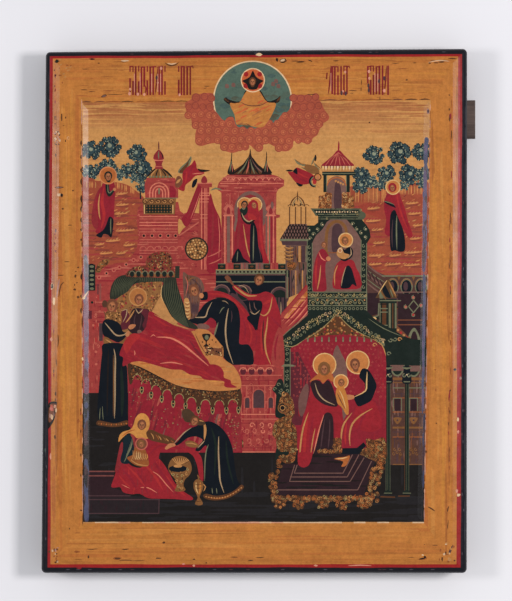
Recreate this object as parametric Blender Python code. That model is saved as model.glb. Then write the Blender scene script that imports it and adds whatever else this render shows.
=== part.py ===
"""Painted icon panel on a wooden board, lying on its back.

One thick board, its front hollowed into a shallow sunken field with sloping sides and its edge rounded over, and two
tapering dovetail slats that hold it flat from behind. The slats were driven in from opposite sides. The board has shrunk
since, so the upper slat now stands out of its right edge.

Metres, +Z up. The painted front faces up, the picture's top lies towards +Y, and the two slats stand on Z = 0. The origin
is on that plane, under the middle of the whole thing, the slat's loose end included.
"""

from math import atan2, cos, pi, radians, sin, tan

import bmesh
import bpy
from mathutils import Vector

MM = 0.001

# The board, seen from the front. It was sawn by hand, so no two opposite sides quite agree.
BOTTOM_WIDTH = 290.0 * MM
HEIGHT = 357.4 * MM
LEFT_SIDE_SHORTER_BY = 2.2 * MM
LEFT_LEANS_IN = 3.0 * MM
RIGHT_LEANS_OUT = 0.2 * MM
BOARD_THICKNESS = 27 * MM
CORNER_RADIUS = 3.0 * MM
BACK_ARRIS = 0.8 * MM

# The front edge, from its highest line outwards: a flat slope, then a round shoulder down to the side.
EDGE_SLOPE_WIDTH = 4.8 * MM
EDGE_SLOPE_DROP = 1.3 * MM
SHOULDER_WIDTH = 5.2 * MM
SHOULDER_DROP = 4.6 * MM
SHOULDER_STEPS = 6

# The sunken field: the margins left round it, and the slope of its sides.
LEFT_MARGIN_TOP = 24.6 * MM
LEFT_MARGIN_BOTTOM = 28.4 * MM
RIGHT_MARGIN_TOP = 25.1 * MM
RIGHT_MARGIN_BOTTOM = 29.5 * MM
TOP_MARGIN = 35.2 * MM
BOTTOM_MARGIN = 34.5 * MM
FIELD_DEPTH = 1.6 * MM
FIELD_SLOPE_WIDTH = 5.4 * MM
FIELD_SLOPE_ROUNDING = 0.9 * MM

# The slats behind, in dovetail grooves that stop short of the far side.
SLAT_WIDE = 26.6 * MM
SLAT_NARROW = 21.5 * MM
SLAT_PROUD = 5 * MM
GROOVE_DEPTH = 8 * MM
DOVETAIL_ANGLE = radians(12)
GROOVE_CLEARANCE = 0.3 * MM
GROOVE_STOP = 18 * MM
SLAT_ARRIS = 1.0 * MM
UPPER_SLAT_FROM_TOP = 47.4 * MM
LOWER_SLAT_FROM_BOTTOM = 47.9 * MM
UPPER_SLAT_STANDS_OUT = 6.8 * MM
LOWER_SLAT_SET_BACK = 0.6 * MM

CUTTER_OVERRUN = 5 * MM
CORNER_STEPS = 5
MERGE_DISTANCE = 0.001 * MM

LIME_WOOD_PAINTED = (0.55, 0.26, 0.06)
OLD_SLAT_WOOD = (0.10, 0.065, 0.045)

# Where things end up, worked out from the sizes above.
BACK_HEIGHT = SLAT_PROUD
FRONT_HEIGHT = BACK_HEIGHT + BOARD_THICKNESS
LEFT_SIDE = -(BOTTOM_WIDTH + UPPER_SLAT_STANDS_OUT) / 2
FOOT = -HEIGHT / 2


def board_outline():
    """The board's four corners from the front, anticlockwise from the lower left."""
    right_side = LEFT_SIDE + BOTTOM_WIDTH
    return [
        Vector((LEFT_SIDE, FOOT)),
        Vector((right_side, FOOT)),
        Vector((right_side + RIGHT_LEANS_OUT, FOOT + HEIGHT)),
        Vector((LEFT_SIDE + LEFT_LEANS_IN, FOOT + HEIGHT - LEFT_SIDE_SHORTER_BY)),
    ]


def field_outline():
    """The crest round the sunken field, in the same order."""
    low_left, low_right, top_right, top_left = board_outline()
    return [
        low_left + Vector((LEFT_MARGIN_BOTTOM, BOTTOM_MARGIN)),
        low_right + Vector((-RIGHT_MARGIN_BOTTOM, BOTTOM_MARGIN)),
        top_right + Vector((-RIGHT_MARGIN_TOP, -TOP_MARGIN)),
        top_left + Vector((LEFT_MARGIN_TOP, -TOP_MARGIN)),
    ]


def normals_at(corners, index):
    """Inward normals of the sides before and after a corner."""
    before = (corners[index] - corners[index - 1]).normalized()
    after = (corners[(index + 1) % len(corners)] - corners[index]).normalized()
    return Vector((-before.y, before.x)), Vector((-after.y, after.x))


def ring(corners, inset, radius, height):
    """The outline moved inwards, with each corner an arc of the same number of points, even where it has no radius."""
    points = []
    for index, corner in enumerate(corners):
        before, after = normals_at(corners, index)
        both = before + after
        centre = corner + both * (inset + radius) / both.dot(before)
        start = atan2(-before.y, -before.x)
        turn = (atan2(-after.y, -after.x) - start) % (2 * pi)
        for step in range(CORNER_STEPS + 1):
            angle = start + turn * step / CORNER_STEPS
            points.append(Vector((centre.x + radius * cos(angle), centre.y + radius * sin(angle), height)))
    return points


def board_ring(inset, height):
    return ring(board_outline(), inset, max(CORNER_RADIUS - inset, 0), height)


def loft(name, rings, colour):
    """A closed solid through rings of equal length, with a cap at each end."""
    mesh = bpy.data.meshes.new(name)
    bm = bmesh.new()
    loops = [[bm.verts.new(point) for point in points] for points in rings]
    count = len(loops[0])
    bm.faces.new(reversed(loops[0]))
    bm.faces.new(loops[-1])
    for low, high in zip(loops, loops[1:]):
        for i in range(count):
            j = (i + 1) % count
            bm.faces.new((low[i], low[j], high[j], high[i]))
    bmesh.ops.remove_doubles(bm, verts=bm.verts, dist=MERGE_DISTANCE)
    bmesh.ops.recalc_face_normals(bm, faces=bm.faces)
    bm.to_mesh(mesh)
    bm.free()
    obj = bpy.data.objects.new(name, mesh)
    bpy.context.scene.collection.objects.link(obj)
    if colour:
        mesh.materials.append(material(name, colour))
    return obj


def material(name, colour):
    made = bpy.data.materials.new(name)
    made.use_nodes = True
    shader = made.node_tree.nodes["Principled BSDF"]
    shader.inputs["Base Color"].default_value = (*colour, 1)
    shader.inputs["Roughness"].default_value = 0.45
    shader.inputs["Metallic"].default_value = 0
    return made


def board():
    """The board as one solid, ringed from its back up the side, over the shoulder and down into the field."""
    rings = [
        board_ring(BACK_ARRIS, BACK_HEIGHT),
        board_ring(0, BACK_HEIGHT + BACK_ARRIS),
    ]
    slope_foot = FRONT_HEIGHT - EDGE_SLOPE_DROP
    for step in range(SHOULDER_STEPS + 1):
        angle = step / SHOULDER_STEPS * pi / 2
        inset = SHOULDER_WIDTH * (1 - cos(angle))
        rings.append(board_ring(inset, slope_foot - SHOULDER_DROP * (1 - sin(angle))))
    rings.append(board_ring(SHOULDER_WIDTH + EDGE_SLOPE_WIDTH, FRONT_HEIGHT))
    field = field_outline()
    rounding = FIELD_SLOPE_ROUNDING
    steepness = FIELD_DEPTH / (FIELD_SLOPE_WIDTH - rounding)
    slope = [
        (0, 0),
        (rounding, rounding / 2 * steepness),
        (FIELD_SLOPE_WIDTH - rounding, FIELD_DEPTH - rounding / 2 * steepness),
        (FIELD_SLOPE_WIDTH, FIELD_DEPTH),
    ]
    rings += [ring(field, inset, 0, FRONT_HEIGHT - drop) for inset, drop in slope]
    return loft("board", rings, LIME_WOOD_PAINTED)


def slat_section(x, width, y, low, high, arris):
    """A dovetail across a slat at one place along it: widest at its top, inside the board, with its lower arrises off."""
    taper = tan(DOVETAIL_ANGLE)
    half_top = width / 2
    half_low = half_top - taper * (high - low)
    half_arris = half_low + taper * arris
    profile = [
        (-half_top, high),
        (-half_arris, low + arris),
        (-half_low + arris, low),
        (half_low - arris, low),
        (half_arris, low + arris),
        (half_top, high),
    ]
    return [Vector((x, y + across, height)) for across, height in profile]


def width_along(distance, length):
    """A slat's width at a distance from its wide end."""
    return SLAT_WIDE - (SLAT_WIDE - SLAT_NARROW) * distance / length


def slat_and_groove(name, y, wide_end, towards, groove_mouth, groove_end):
    """A slat in its groove. It runs from its wide end in the direction of towards, which is 1 or -1."""
    narrow_end = groove_end - towards * GROOVE_CLEARANCE
    length = abs(narrow_end - wide_end)
    top = BACK_HEIGHT + GROOVE_DEPTH - GROOVE_CLEARANCE
    ends = [(wide_end, SLAT_WIDE), (narrow_end, SLAT_NARROW)]
    sections = [slat_section(x, width, y, 0, top, SLAT_ARRIS) for x, width in ends]
    slat = loft(name, sections, OLD_SLAT_WOOD)
    mouth = groove_mouth - towards * CUTTER_OVERRUN
    grow = 2 * GROOVE_CLEARANCE / cos(DOVETAIL_ANGLE)
    cut = []
    for x in (mouth, groove_end):
        width = width_along((x - wide_end) * towards, length) + grow
        cut.append(slat_section(x, width, y, -CUTTER_OVERRUN, BACK_HEIGHT + GROOVE_DEPTH, 0))
    cutter = loft(name + "_groove_cutter", cut, None)
    cutter.hide_render = True
    cutter.display_type = "WIRE"
    return slat, cutter


def main():
    for obj in list(bpy.data.objects):
        bpy.data.objects.remove(obj)
    panel = board()
    right_side = LEFT_SIDE + BOTTOM_WIDTH
    _, upper_groove = slat_and_groove(
        "upper_slat",
        y=FOOT + HEIGHT - UPPER_SLAT_FROM_TOP,
        wide_end=right_side + UPPER_SLAT_STANDS_OUT,
        towards=-1,
        groove_mouth=right_side,
        groove_end=LEFT_SIDE + LEFT_LEANS_IN + GROOVE_STOP,
    )
    _, lower_groove = slat_and_groove(
        "lower_slat",
        y=FOOT + LOWER_SLAT_FROM_BOTTOM,
        wide_end=LEFT_SIDE + LOWER_SLAT_SET_BACK,
        towards=1,
        groove_mouth=LEFT_SIDE,
        groove_end=right_side - GROOVE_STOP,
    )
    for groove in (upper_groove, lower_groove):
        cut = panel.modifiers.new(groove.name, "BOOLEAN")
        cut.operation = "DIFFERENCE"
        cut.object = groove


main()
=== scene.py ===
import math
import random

import bmesh
import bpy
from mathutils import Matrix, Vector
from mathutils.bvhtree import BVHTree
from mathutils.geometry import delaunay_2d_cdt


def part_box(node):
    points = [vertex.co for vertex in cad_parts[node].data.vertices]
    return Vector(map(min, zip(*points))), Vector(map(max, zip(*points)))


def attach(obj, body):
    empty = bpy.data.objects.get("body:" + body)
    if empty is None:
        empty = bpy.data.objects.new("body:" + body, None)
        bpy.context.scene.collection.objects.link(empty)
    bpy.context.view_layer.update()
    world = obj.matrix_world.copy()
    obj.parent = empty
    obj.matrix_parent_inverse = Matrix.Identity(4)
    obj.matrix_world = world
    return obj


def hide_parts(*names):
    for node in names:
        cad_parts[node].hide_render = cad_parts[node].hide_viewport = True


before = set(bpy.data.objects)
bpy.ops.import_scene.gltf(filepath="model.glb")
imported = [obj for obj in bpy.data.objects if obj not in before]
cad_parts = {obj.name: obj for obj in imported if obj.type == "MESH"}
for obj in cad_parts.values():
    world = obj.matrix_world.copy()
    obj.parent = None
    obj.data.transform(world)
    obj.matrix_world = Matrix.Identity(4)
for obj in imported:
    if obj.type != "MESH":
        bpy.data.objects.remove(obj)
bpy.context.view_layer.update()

# The floor is a sheet of plain off-white paper. The panel lies on it, on the two slats behind.
# It is one large flat face with a faint mottle, and isn't part of the object.


class Value:
    """A shader socket that can be added, subtracted, multiplied and divided."""

    def __init__(self, tree, socket):
        self.tree = tree
        self.socket = socket

    def maths(self, operation, first, second=None, clamp=False):
        inputs = {0: first}
        if second is not None:
            inputs[1] = second
        return self.node("ShaderNodeMath", {"operation": operation, "use_clamp": clamp}, inputs)

    def node(self, kind, settings, inputs, output=0):
        return add_node(self.tree, kind, settings, inputs, output)

    def __add__(self, other):
        return self.maths("ADD", self, other)

    def __sub__(self, other):
        return self.maths("SUBTRACT", self, other)

    def __mul__(self, other):
        return self.maths("MULTIPLY", self, other)

    def __truediv__(self, other):
        return self.maths("DIVIDE", self, other)

    def __rsub__(self, other):
        return self.maths("SUBTRACT", other, self)

    def __rtruediv__(self, other):
        return self.maths("DIVIDE", other, self)

    __radd__ = __add__
    __rmul__ = __mul__


def add_node(tree, kind, settings, inputs, output=0):
    """One node with its settings, a ramp's stops among them, and its sockets' values or links."""
    node = tree.nodes.new(kind)
    for name, value in settings.items():
        if name == "stops":
            ramp = node.color_ramp.elements
            while len(ramp) < len(value):
                ramp.new(0.5)
            for element, (place, colour) in zip(ramp, value):
                element.position = place
                element.color = colour
        else:
            setattr(node, name, value)
    for name, value in inputs.items():
        if isinstance(value, Value):
            tree.links.new(value.socket, node.inputs[name])
        else:
            node.inputs[name].default_value = value
    return Value(tree, node.outputs[output])


def finish_named(name, **sockets):
    """A new material and its Principled shader, with the values that are the same all over."""
    made = bpy.data.materials.new(name)
    made.use_nodes = True
    shader = made.node_tree.nodes["Principled BSDF"]
    for socket, value in sockets.items():
        shader.inputs[socket.replace("_", " ")].default_value = value
    return made, made.node_tree, shader


def pigment(red, green, blue):
    """A colour for the shader from its everyday values of 0 to 255."""
    values = [v / 255 for v in (red, green, blue)]
    return tuple(v / 12.92 if v < 0.04045 else ((v + 0.055) / 1.055) ** 2.4 for v in values)


def with_alpha(colour):
    return (*colour, 1)


def noise(place, scale, detail=2.0, roughness=0.5):
    """Values around one half that change over the surface, about scale times in a metre."""
    inputs = {"Vector": place, "Scale": scale, "Detail": detail, "Roughness": roughness}
    return place.node("ShaderNodeTexNoise", {}, inputs)


def ranged(value, low, high, new_low=0.0, new_high=1.0):
    """The value moved from one range to another, and kept inside it."""
    inputs = {"Value": value, "From Min": low, "From Max": high, "To Min": new_low, "To Max": new_high}
    return value.node("ShaderNodeMapRange", {}, inputs)


def blended(share, first, second, how="MIX"):
    """Two colours mixed, the second one by the given share."""
    tree = (first if isinstance(first, Value) else share).tree
    node = tree.nodes.new("ShaderNodeMix")
    node.data_type = "RGBA"
    node.blend_type = how
    for socket, value in ((0, share), (6, first), (7, second)):
        if isinstance(value, Value):
            tree.links.new(value.socket, node.inputs[socket])
        else:
            node.inputs[socket].default_value = value
    return Value(tree, node.outputs[2])


def object_place(tree, stretch=(1, 1, 1)):
    """Object coordinates, multiplied along each axis."""
    place = add_node(tree, "ShaderNodeTexCoord", {}, {}, "Object")
    return place.node("ShaderNodeMapping", {}, {"Vector": place, "Scale": stretch})


def feed(shader, socket, value):
    """Links a value that varies to one of the shader's sockets."""
    value.tree.links.new(value.socket, shader.inputs[socket])


FLOOR_SIZE = 6.0
PAPER_DARK = pigment(222, 221, 224)
PAPER_LIGHT = pigment(227, 226, 227)
paper, tree, shader = finish_named("floor_paper", Roughness=0.9)
place = object_place(tree)
cloud = noise(place, 3.0)
tone = blended(ranged(cloud, 0.3, 0.7), with_alpha(PAPER_DARK), with_alpha(PAPER_LIGHT))
feed(shader, "Base Color", tone)
shape = bmesh.new()
bmesh.ops.create_grid(shape, x_segments=1, y_segments=1, size=FLOOR_SIZE / 2)
floor_mesh = bpy.data.meshes.new("floor")
shape.to_mesh(floor_mesh)
shape.free()
floor_mesh.materials.append(paper)
floor = bpy.data.objects.new("floor", floor_mesh)
bpy.context.scene.collection.objects.link(floor)

# The camera looks straight down on the painted front, with the picture upright.
# The two studio lights stand low at the left and right, and soft light comes from all round.

MM = 0.001
low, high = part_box("board")
FRONT = high.z
EDGE_BEYOND_PICTURE_GRID = 0.9 * MM
LEFT = low.x + EDGE_BEYOND_PICTURE_GRID
FOOT = low.y + EDGE_BEYOND_PICTURE_GRID
CAMERA_DISTANCE = 2.0
CAMERA_X = LEFT + 145.35 * MM
CAMERA_Y = FOOT + 184.9 * MM
SENSOR = 36.0
VIEW_HEIGHT = 0.4087
eye = bpy.data.cameras.new("camera")
eye.sensor_width = SENSOR
eye.sensor_fit = "AUTO"
eye.lens = SENSOR * CAMERA_DISTANCE / VIEW_HEIGHT
eye.clip_end = 20
camera = bpy.data.objects.new("camera", eye)
camera.location = (CAMERA_X, CAMERA_Y, FRONT + CAMERA_DISTANCE)
bpy.context.scene.collection.objects.link(camera)
bpy.context.scene.camera = camera

LIGHT_DISTANCE = 1.6
LIGHT_SIZE = 0.28
LIGHT_TOWARDS_TOP = 0.10
LIGHT_TINT = (1.0, 0.975, 0.985)


def studio_light(name, side, tilt, power):
    """A square light beside the panel, tilted so far from the upright and aimed at it."""
    lamp = bpy.data.lights.new(name, "AREA")
    lamp.shape = "RECTANGLE"
    lamp.size = LIGHT_SIZE
    lamp.size_y = LIGHT_SIZE
    lamp.energy = power
    lamp.color = LIGHT_TINT
    angle = math.radians(tilt)
    out, up = LIGHT_DISTANCE * math.sin(angle), LIGHT_DISTANCE * math.cos(angle)
    place = Vector((side * out, LIGHT_TOWARDS_TOP, up))
    light = bpy.data.objects.new(name, lamp)
    light.location = place
    light.rotation_euler = (-place).to_track_quat("-Z", "Y").to_euler()
    bpy.context.scene.collection.objects.link(light)


studio_light("right_light", 1, 32, 13.0)
studio_light("left_light", -1, 37, 6.3)
ROOM_LIGHT = (0.93, 0.95, 1.0, 1)
ROOM_LIGHT_STRENGTH = 0.57
world = bpy.data.worlds.new("studio")
world.use_nodes = True
world.node_tree.nodes["Background"].inputs["Color"].default_value = ROOM_LIGHT
world.node_tree.nodes["Background"].inputs["Strength"].default_value = ROOM_LIGHT_STRENGTH
bpy.context.scene.world = world
bpy.context.scene.view_settings.view_transform = "Standard"

# The board is one thick plank with a sunken field, painted in egg tempera over a white ground.
# Its picture is laid on in flat, overlapping shapes like the real one, from the sky forwards, then lines
# and gold.
# The shapes are cut into the front of the board itself, so each patch of paint is a patch of its surface.

# Pigments, under their golden varnish.
OCHRE = pigment(189, 119, 55)
OCHRE_DARK = pigment(150, 84, 42)
OCHRE_RED = pigment(176, 98, 48)
OCHRE_LIGHT = pigment(203, 137, 68)
EDGE_BLACK = pigment(26, 26, 32)
EDGE_RED = pigment(154, 34, 34)
SKY = pigment(199, 141, 80)
SKY_WARM = pigment(168, 102, 60)
SKY_PALE = pigment(208, 153, 92)
TEAL = pigment(84, 104, 90)
TEAL_DARK = pigment(80, 78, 62)
CLOUD = pigment(170, 82, 58)
CLOUD_DARK = pigment(146, 66, 52)
CLOUD_LIGHT = pigment(196, 112, 72)
FOLIAGE = pigment(20, 34, 40)
FOLIAGE_MID = pigment(58, 78, 80)
FOLIAGE_LIGHT = pigment(142, 146, 120)
HILL = pigment(156, 74, 50)
HILL_DARK = pigment(132, 62, 48)
HILL_LIGHT = pigment(206, 134, 76)
WALL = pigment(156, 60, 54)
WALL_DARK = pigment(138, 42, 46)
WALL_PINK = pigment(186, 96, 78)
RED = pigment(150, 34, 42)
CRIMSON = pigment(140, 32, 44)
SCARLET = pigment(168, 44, 44)
ROSE = pigment(212, 120, 94)
MAROON = pigment(92, 34, 42)
PLUM = pigment(46, 27, 31)
NAVY = pigment(12, 18, 26)
GREEN = pigment(24, 34, 28)
GREEN_GREY = pigment(112, 112, 84)
CANOPY = pigment(46, 47, 36)
CANOPY_LIGHT = pigment(70, 72, 52)
PURPLE = pigment(118, 84, 74)
PURPLE_DARK = pigment(76, 52, 54)
BROWN = pigment(92, 56, 32)
GOLD = pigment(186, 130, 76)
GOLD_DARK = pigment(128, 84, 46)
GOLD_PALE = pigment(216, 172, 112)
CREAM = pigment(226, 190, 146)
ROBE_LIGHT = pigment(170, 140, 104)
GILT = pigment(154, 134, 86)
LINEN = pigment(190, 122, 66)
FLESH = pigment(186, 118, 76)
FLESH_DARK = pigment(116, 68, 46)
HALO = pigment(196, 122, 64)
DUSK = pigment(28, 24, 22)
DUSK_BLUE = pigment(35, 32, 33)
INK = pigment(30, 22, 20)
INSCRIPTION_RED = pigment(118, 38, 32)

# Every painted shape in the order it is laid: colour, outline, and the shape it stays inside.
# Places are in millimetres from the board's lower left corner.
coats = []
hand = random.Random(17)
brushwork = (0.12, 0, 0)


def extent(points):
    """The area of a shape, positive when its outline runs anticlockwise."""
    return sum(a[0] * b[1] - b[0] * a[1] for a, b in zip(points, points[1:] + points[:1])) / 2


def fill(colour, points, inside=None, depth=0):
    coats.append((colour, points if extent(points) > 0 else points[::-1], inside, depth, brushwork))
    return len(coats) - 1


def pairs(numbers):
    return list(zip(numbers[::2], numbers[1::2]))


def rounded(points, closed=True, steps=3):
    """A smooth line through the points."""
    count = len(points)
    line = []
    for i in range(count if closed else count - 1):
        if closed:
            a, b, c, d = (points[(i + k) % count] for k in (-1, 0, 1, 2))
        else:
            a, b, c, d = points[max(i - 1, 0)], points[i], points[i + 1], points[min(i + 2, count - 1)]
        for step in range(steps):
            t = step / steps
            line.append(tuple(
                q + t / 2 * (r - p + t * (2 * p - 5 * q + 4 * r - s + t * (3 * (q - r) + s - p)))
                for p, q, r, s in zip(a, b, c, d)
            ))
    return line if closed else line + [points[-1]]


def area(colour, *numbers, inside=None):
    """A straight-sided shape."""
    return fill(colour, pairs(numbers), inside)


def form(colour, *numbers, inside=None):
    """A shape with a flowing outline."""
    return fill(colour, rounded(pairs(numbers)), inside)


def strip(colour, width, path, thin, inside=None):
    """A brush line along a path, which thins towards its ends."""
    last = len(path) - 1
    left, right = [], []
    for i, (x, y) in enumerate(path):
        before, after = path[max(i - 1, 0)], path[min(i + 1, last)]
        dx, dy = after[0] - before[0], after[1] - before[1]
        length = math.hypot(dx, dy) or 1
        half = width / 2 * (0.2 + 0.8 * math.sin(math.pi * i / last) ** 0.7 if thin else 1)
        left.append((x - dy / length * half, y + dx / length * half))
        right.append((x + dy / length * half, y - dx / length * half))
    return fill(colour, left + right[::-1], inside)


def stroke(colour, width, *numbers, inside=None):
    """One stroke of a pointed brush."""
    points = pairs(numbers)
    steps = 2 if math.dist(points[0], points[-1]) < 9 else 3
    return strip(colour, width, rounded(points, False, steps), True, inside)


def line(colour, width, *numbers, inside=None):
    """A straight, even line, or one with corners."""
    points = pairs(numbers)
    for a, b in zip(points, points[1:]):
        strip(colour, width, [a, b], False, inside)


def round_points(x, y, wide, tall=None, count=16, start=0, end=360):
    tall = wide if tall is None else tall
    steps = count if end - start == 360 else count + 1
    angles = [math.radians(start + (end - start) * i / count) for i in range(steps)]
    return [(x + wide * math.cos(a), y + tall * math.sin(a)) for a in angles]


def disc(colour, x, y, wide, tall=None, count=14, inside=None):
    return fill(colour, round_points(x, y, wide, tall, count), inside)


def arc(colour, width, x, y, radius, start, end, tall=None, inside=None):
    path = round_points(x, y, radius, tall, 8, start, end)
    return strip(colour, width, path, False, inside)


def hoop(colour, width, x, y, radius, inside=None):
    arc(colour, width, x, y, radius, 0, 180, inside=inside)
    arc(colour, width, x, y, radius, 180, 359.9, inside=inside)


def between(first, second, share):
    return tuple(a + (b - a) * share for a, b in zip(first, second))


def streaks(colours, count, x0, y0, x1, y1, length, width, upright=False, inside=None):
    """Thin strokes all one way, as a wide brush leaves them."""
    for _ in range(count):
        x, y = hand.uniform(x0, x1), hand.uniform(y0, y1)
        run, wave = hand.uniform(0.4, 1) * length, hand.uniform(-0.4, 0.4)
        thick = hand.uniform(0.5, 1) * width
        colour = hand.choice(colours)
        if upright:
            y, end = max(y - run / 2, y0), min(y + run / 2, y1)
            stroke(colour, thick, x, y, x + wave, (y + end) / 2, x, end, inside=inside)
        else:
            x, end = max(x - run / 2, x0), min(x + run / 2, x1)
            stroke(colour, thick, x, y, (x + end) / 2, y + wave, end, y, inside=inside)


GILDING_GROUND = between(INK, BROWN, 0.7)
GILDING_TONES = (GOLD, GOLD_DARK, OCHRE_RED, OCHRE_DARK, OCHRE_RED, GILT, GOLD_DARK)


def curl(colour, width, x, y, size, turn, inside=None):
    """A small scroll, wound inwards."""
    points = []
    for i in range(7):
        angle = math.radians(turn + i * 54)
        reach = size * (1 - i * 0.11)
        points.append((x + reach * math.cos(angle), y + reach * math.sin(angle)))
    return strip(colour, width, points, False, inside)


def gilding(places, size, inside=None, ground=GILDING_GROUND, tones=GILDING_TONES):
    """Gilded scrollwork: brown rounds run together, with small scrolls of gold over them."""
    for x, y in places:
        disc(ground, x, y, size * hand.uniform(1.1, 1.4), size * hand.uniform(1.1, 1.4), 10, inside)
    for x, y in places:
        for _ in range(3):
            tone = hand.choice(tones)
            across, up = hand.uniform(-0.8, 0.8) * size, hand.uniform(-0.8, 0.8) * size
            curl(tone, hand.uniform(0.26, 0.4), x + across, y + up, hand.uniform(0.7, 1.3),
                 hand.uniform(0, 360), inside)


def scrollwork(x0, y0, x1, y1, size, inside=None, **paint):
    """A field of gilding."""
    rows = max(1, round((y1 - y0) / size / 1.8))
    columns = max(1, round((x1 - x0) / size / 1.8))
    gilding([
        (x0 + (column + 0.5) * (x1 - x0) / columns, y0 + (row + 0.5) * (y1 - y0) / rows)
        for row in range(rows) for column in range(columns)
    ], size, inside, **paint)


def beads(colour, radius, x0, y0, x1, y1, count, inside=None):
    for i in range(count):
        share = i / max(count - 1, 1)
        disc(colour, x0 + (x1 - x0) * share, y0 + (y1 - y0) * share, radius, count=8, inside=inside)


def head(x, y, size, lean=0, hair=FLESH_DARK, beard=None, veil=None):
    """A calm, general head: hair or veil, an oval face, brows, lids, nose and mouth in a few fine strokes."""
    cos, sin = math.cos(math.radians(lean)), math.sin(math.radians(lean))

    def at(across, up):
        return x + size * (across * cos - up * sin), y + size * (across * sin + up * cos)

    def oval(colour, across, up, wide, tall, count=12):
        points = round_points(0, 0, wide, tall, count)
        return fill(colour, [at(across + a, up + b) for a, b in points])

    def mark(colour, width, *places):
        return strip(colour, width * size, [at(*place) for place in places], False)

    if veil:
        oval(veil, 0, 0.08, 1.0, 1.12)
    oval(hair, 0, 0.12, 0.80, 0.92)
    if beard:
        oval(beard, 0, -0.62, 0.46, 0.55)
    oval(FLESH_DARK, 0, -0.06, 0.58, 0.80)
    oval(between(FLESH_DARK, FLESH, 0.55), 0.02, -0.04, 0.48, 0.70)
    oval(between(FLESH, FLESH_DARK, 0.12), 0.05, 0.30, 0.30, 0.20, 8)
    for side in (-1, 1):
        mark(INK, 0.07, (side * 0.34, 0.12), (side * 0.22, 0.17), (side * 0.10, 0.13))
        mark(INK, 0.12, (side * 0.30, 0.0), (side * 0.13, 0.0))
    mark(FLESH_DARK, 0.10, (0.0, 0.10), (0.02, -0.22))
    mark(FLESH_DARK, 0.10, (-0.10, -0.24), (0.10, -0.24))
    mark(CRIMSON, 0.09, (-0.12, -0.42), (0.12, -0.42))


def halo(x, y, radius, colour=HALO, rim=GOLD_PALE):
    disc(rim, x, y, radius, count=24)
    disc(colour, x, y, radius - 0.75, count=24)


# The sky: a golden ground, brushed sideways, redder and darker towards the top.
FIELD = (27, 33.6, 259.8, 33.6, 264.2, 321.3, 26.6, 319.3)
area(SKY, *FIELD)
for i in range(430):
    x, y = hand.uniform(28, 263), 205 + 115 * hand.random() ** 0.75
    run, wave = hand.uniform(12, 46), hand.uniform(-0.5, 0.5)
    x0, x1 = max(27.5, x - run), min(262.8, x + run)
    height = (y - 296) / 24
    warmth = min(1, max(0, height + hand.uniform(-0.12, 0.12)))
    edge = max(0, (48 - x) / 25, (x - 243) / 25)
    tone = between(between(SKY, SKY_PALE, hand.random() * 0.5), SKY_WARM, min(1, warmth + edge * 0.6))
    stroke(tone, hand.uniform(0.6, 2.0), x0, y, (x0 + x1) / 2, y + wave, x1, y + wave / 2)

# The two hills, with a pale rim of upright strokes and short golden grass.
left_hill = form(
    HILL, 27, 205, 27, 268, 36, 266.5, 45, 266, 53, 265, 59, 263, 63, 260, 68, 256, 73, 248, 76, 236, 76,
    205,
)
right_hill = form(
    HILL, 216, 200, 212, 215, 219, 238, 214, 244, 209, 252, 208, 262, 218, 262, 228, 262, 240, 263, 252,
    264, 263, 264, 263, 200,
)
streaks((HILL_DARK, WALL, HILL), 90, 27, 205, 74, 256, 22, 1.6, inside=left_hill)
streaks((HILL_DARK, WALL, HILL), 90, 210, 200, 262, 250, 22, 1.6, inside=right_hill)
for x in range(0, 33):
    top = 266 - max(0, x - 20) * 0.35
    stroke(hand.choice((HILL_LIGHT, GOLD, HILL)), 0.7, 30 + x, top, 30.2 + x, top - 2.4, 30 + x,
           top - 4.6, inside=left_hill)
form(HILL, 211, 254, 212, 262, 236, 262, 236, 254, 222, 251)
for x in range(0, 50):
    top = 262.5 if x < 26 else 263.5
    low_end = 251.5 if x < 26 else 257
    tone = hand.choice((HILL_LIGHT, GOLD, HILL, SKY_WARM))
    stroke(tone, 0.75, 209 + x, top, 209.2 + x, (top + low_end) / 2, 209 + x, low_end, inside=right_hill)
form(between(HILL, RED, 0.35), 215, 249, 222, 251.5, 232, 250.5, 236, 246, 234, 240, 224, 243, 217, 245,
     inside=right_hill)
grass = (
    50, 257.5, 8, 50, 250, 9, 49, 244, 9, 50, 237, 8, 50, 232.5, 13, 36, 223, 6, 43, 225.5, 10, 55, 222.5,
    8, 39, 217, 9, 50, 217, 7, 221, 247.5, 9, 220, 239, 10, 224, 233, 8, 247, 251, 9, 249, 244, 9, 252,
    236, 7, 225, 224, 8, 222, 215.5, 11, 236, 215.5, 8, 222, 209.5, 9, 233, 209.5, 11, 246, 217.5, 12,
    250, 227, 8, 246, 209, 11,
)
for x, y, run in zip(grass[::3], grass[1::3], grass[2::3]):
    stroke(HILL_DARK, 1.3, x, y - 1.0, x + run / 2, y - 1.2, x + run, y - 0.9)
    stroke(HILL_LIGHT, 1.1, x, y - 0.4, x + run / 2, y, x + run, y + 0.6)
    for blade in range(int(run / 2)):
        stroke(GOLD, 0.5, x + blade * 2, y, x + 1.2 + blade * 2, y + 0.6, x + 2.2 + blade * 2, y + 1.4)

for i in range(150):
    hill, across, up = (left_hill, (30, 72), (212, 259)) if i % 2 else (right_hill, (212, 258), (205, 257))
    x, y = hand.uniform(*across), hand.uniform(*up)
    run = hand.uniform(1.2, 3.6)
    tone = between(HILL, hand.choice((HILL_LIGHT, GOLD, HILL_LIGHT, HILL_DARK, MAROON)),
                   hand.uniform(0.4, 1))
    stroke(tone, hand.uniform(0.4, 0.9), x, y, x + run / 2, y + 0.3, x + run, y + 1.1, inside=hill)

# Clumps of trees: dark rosettes with a scalloped edge and rings of pale leaves.


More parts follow.
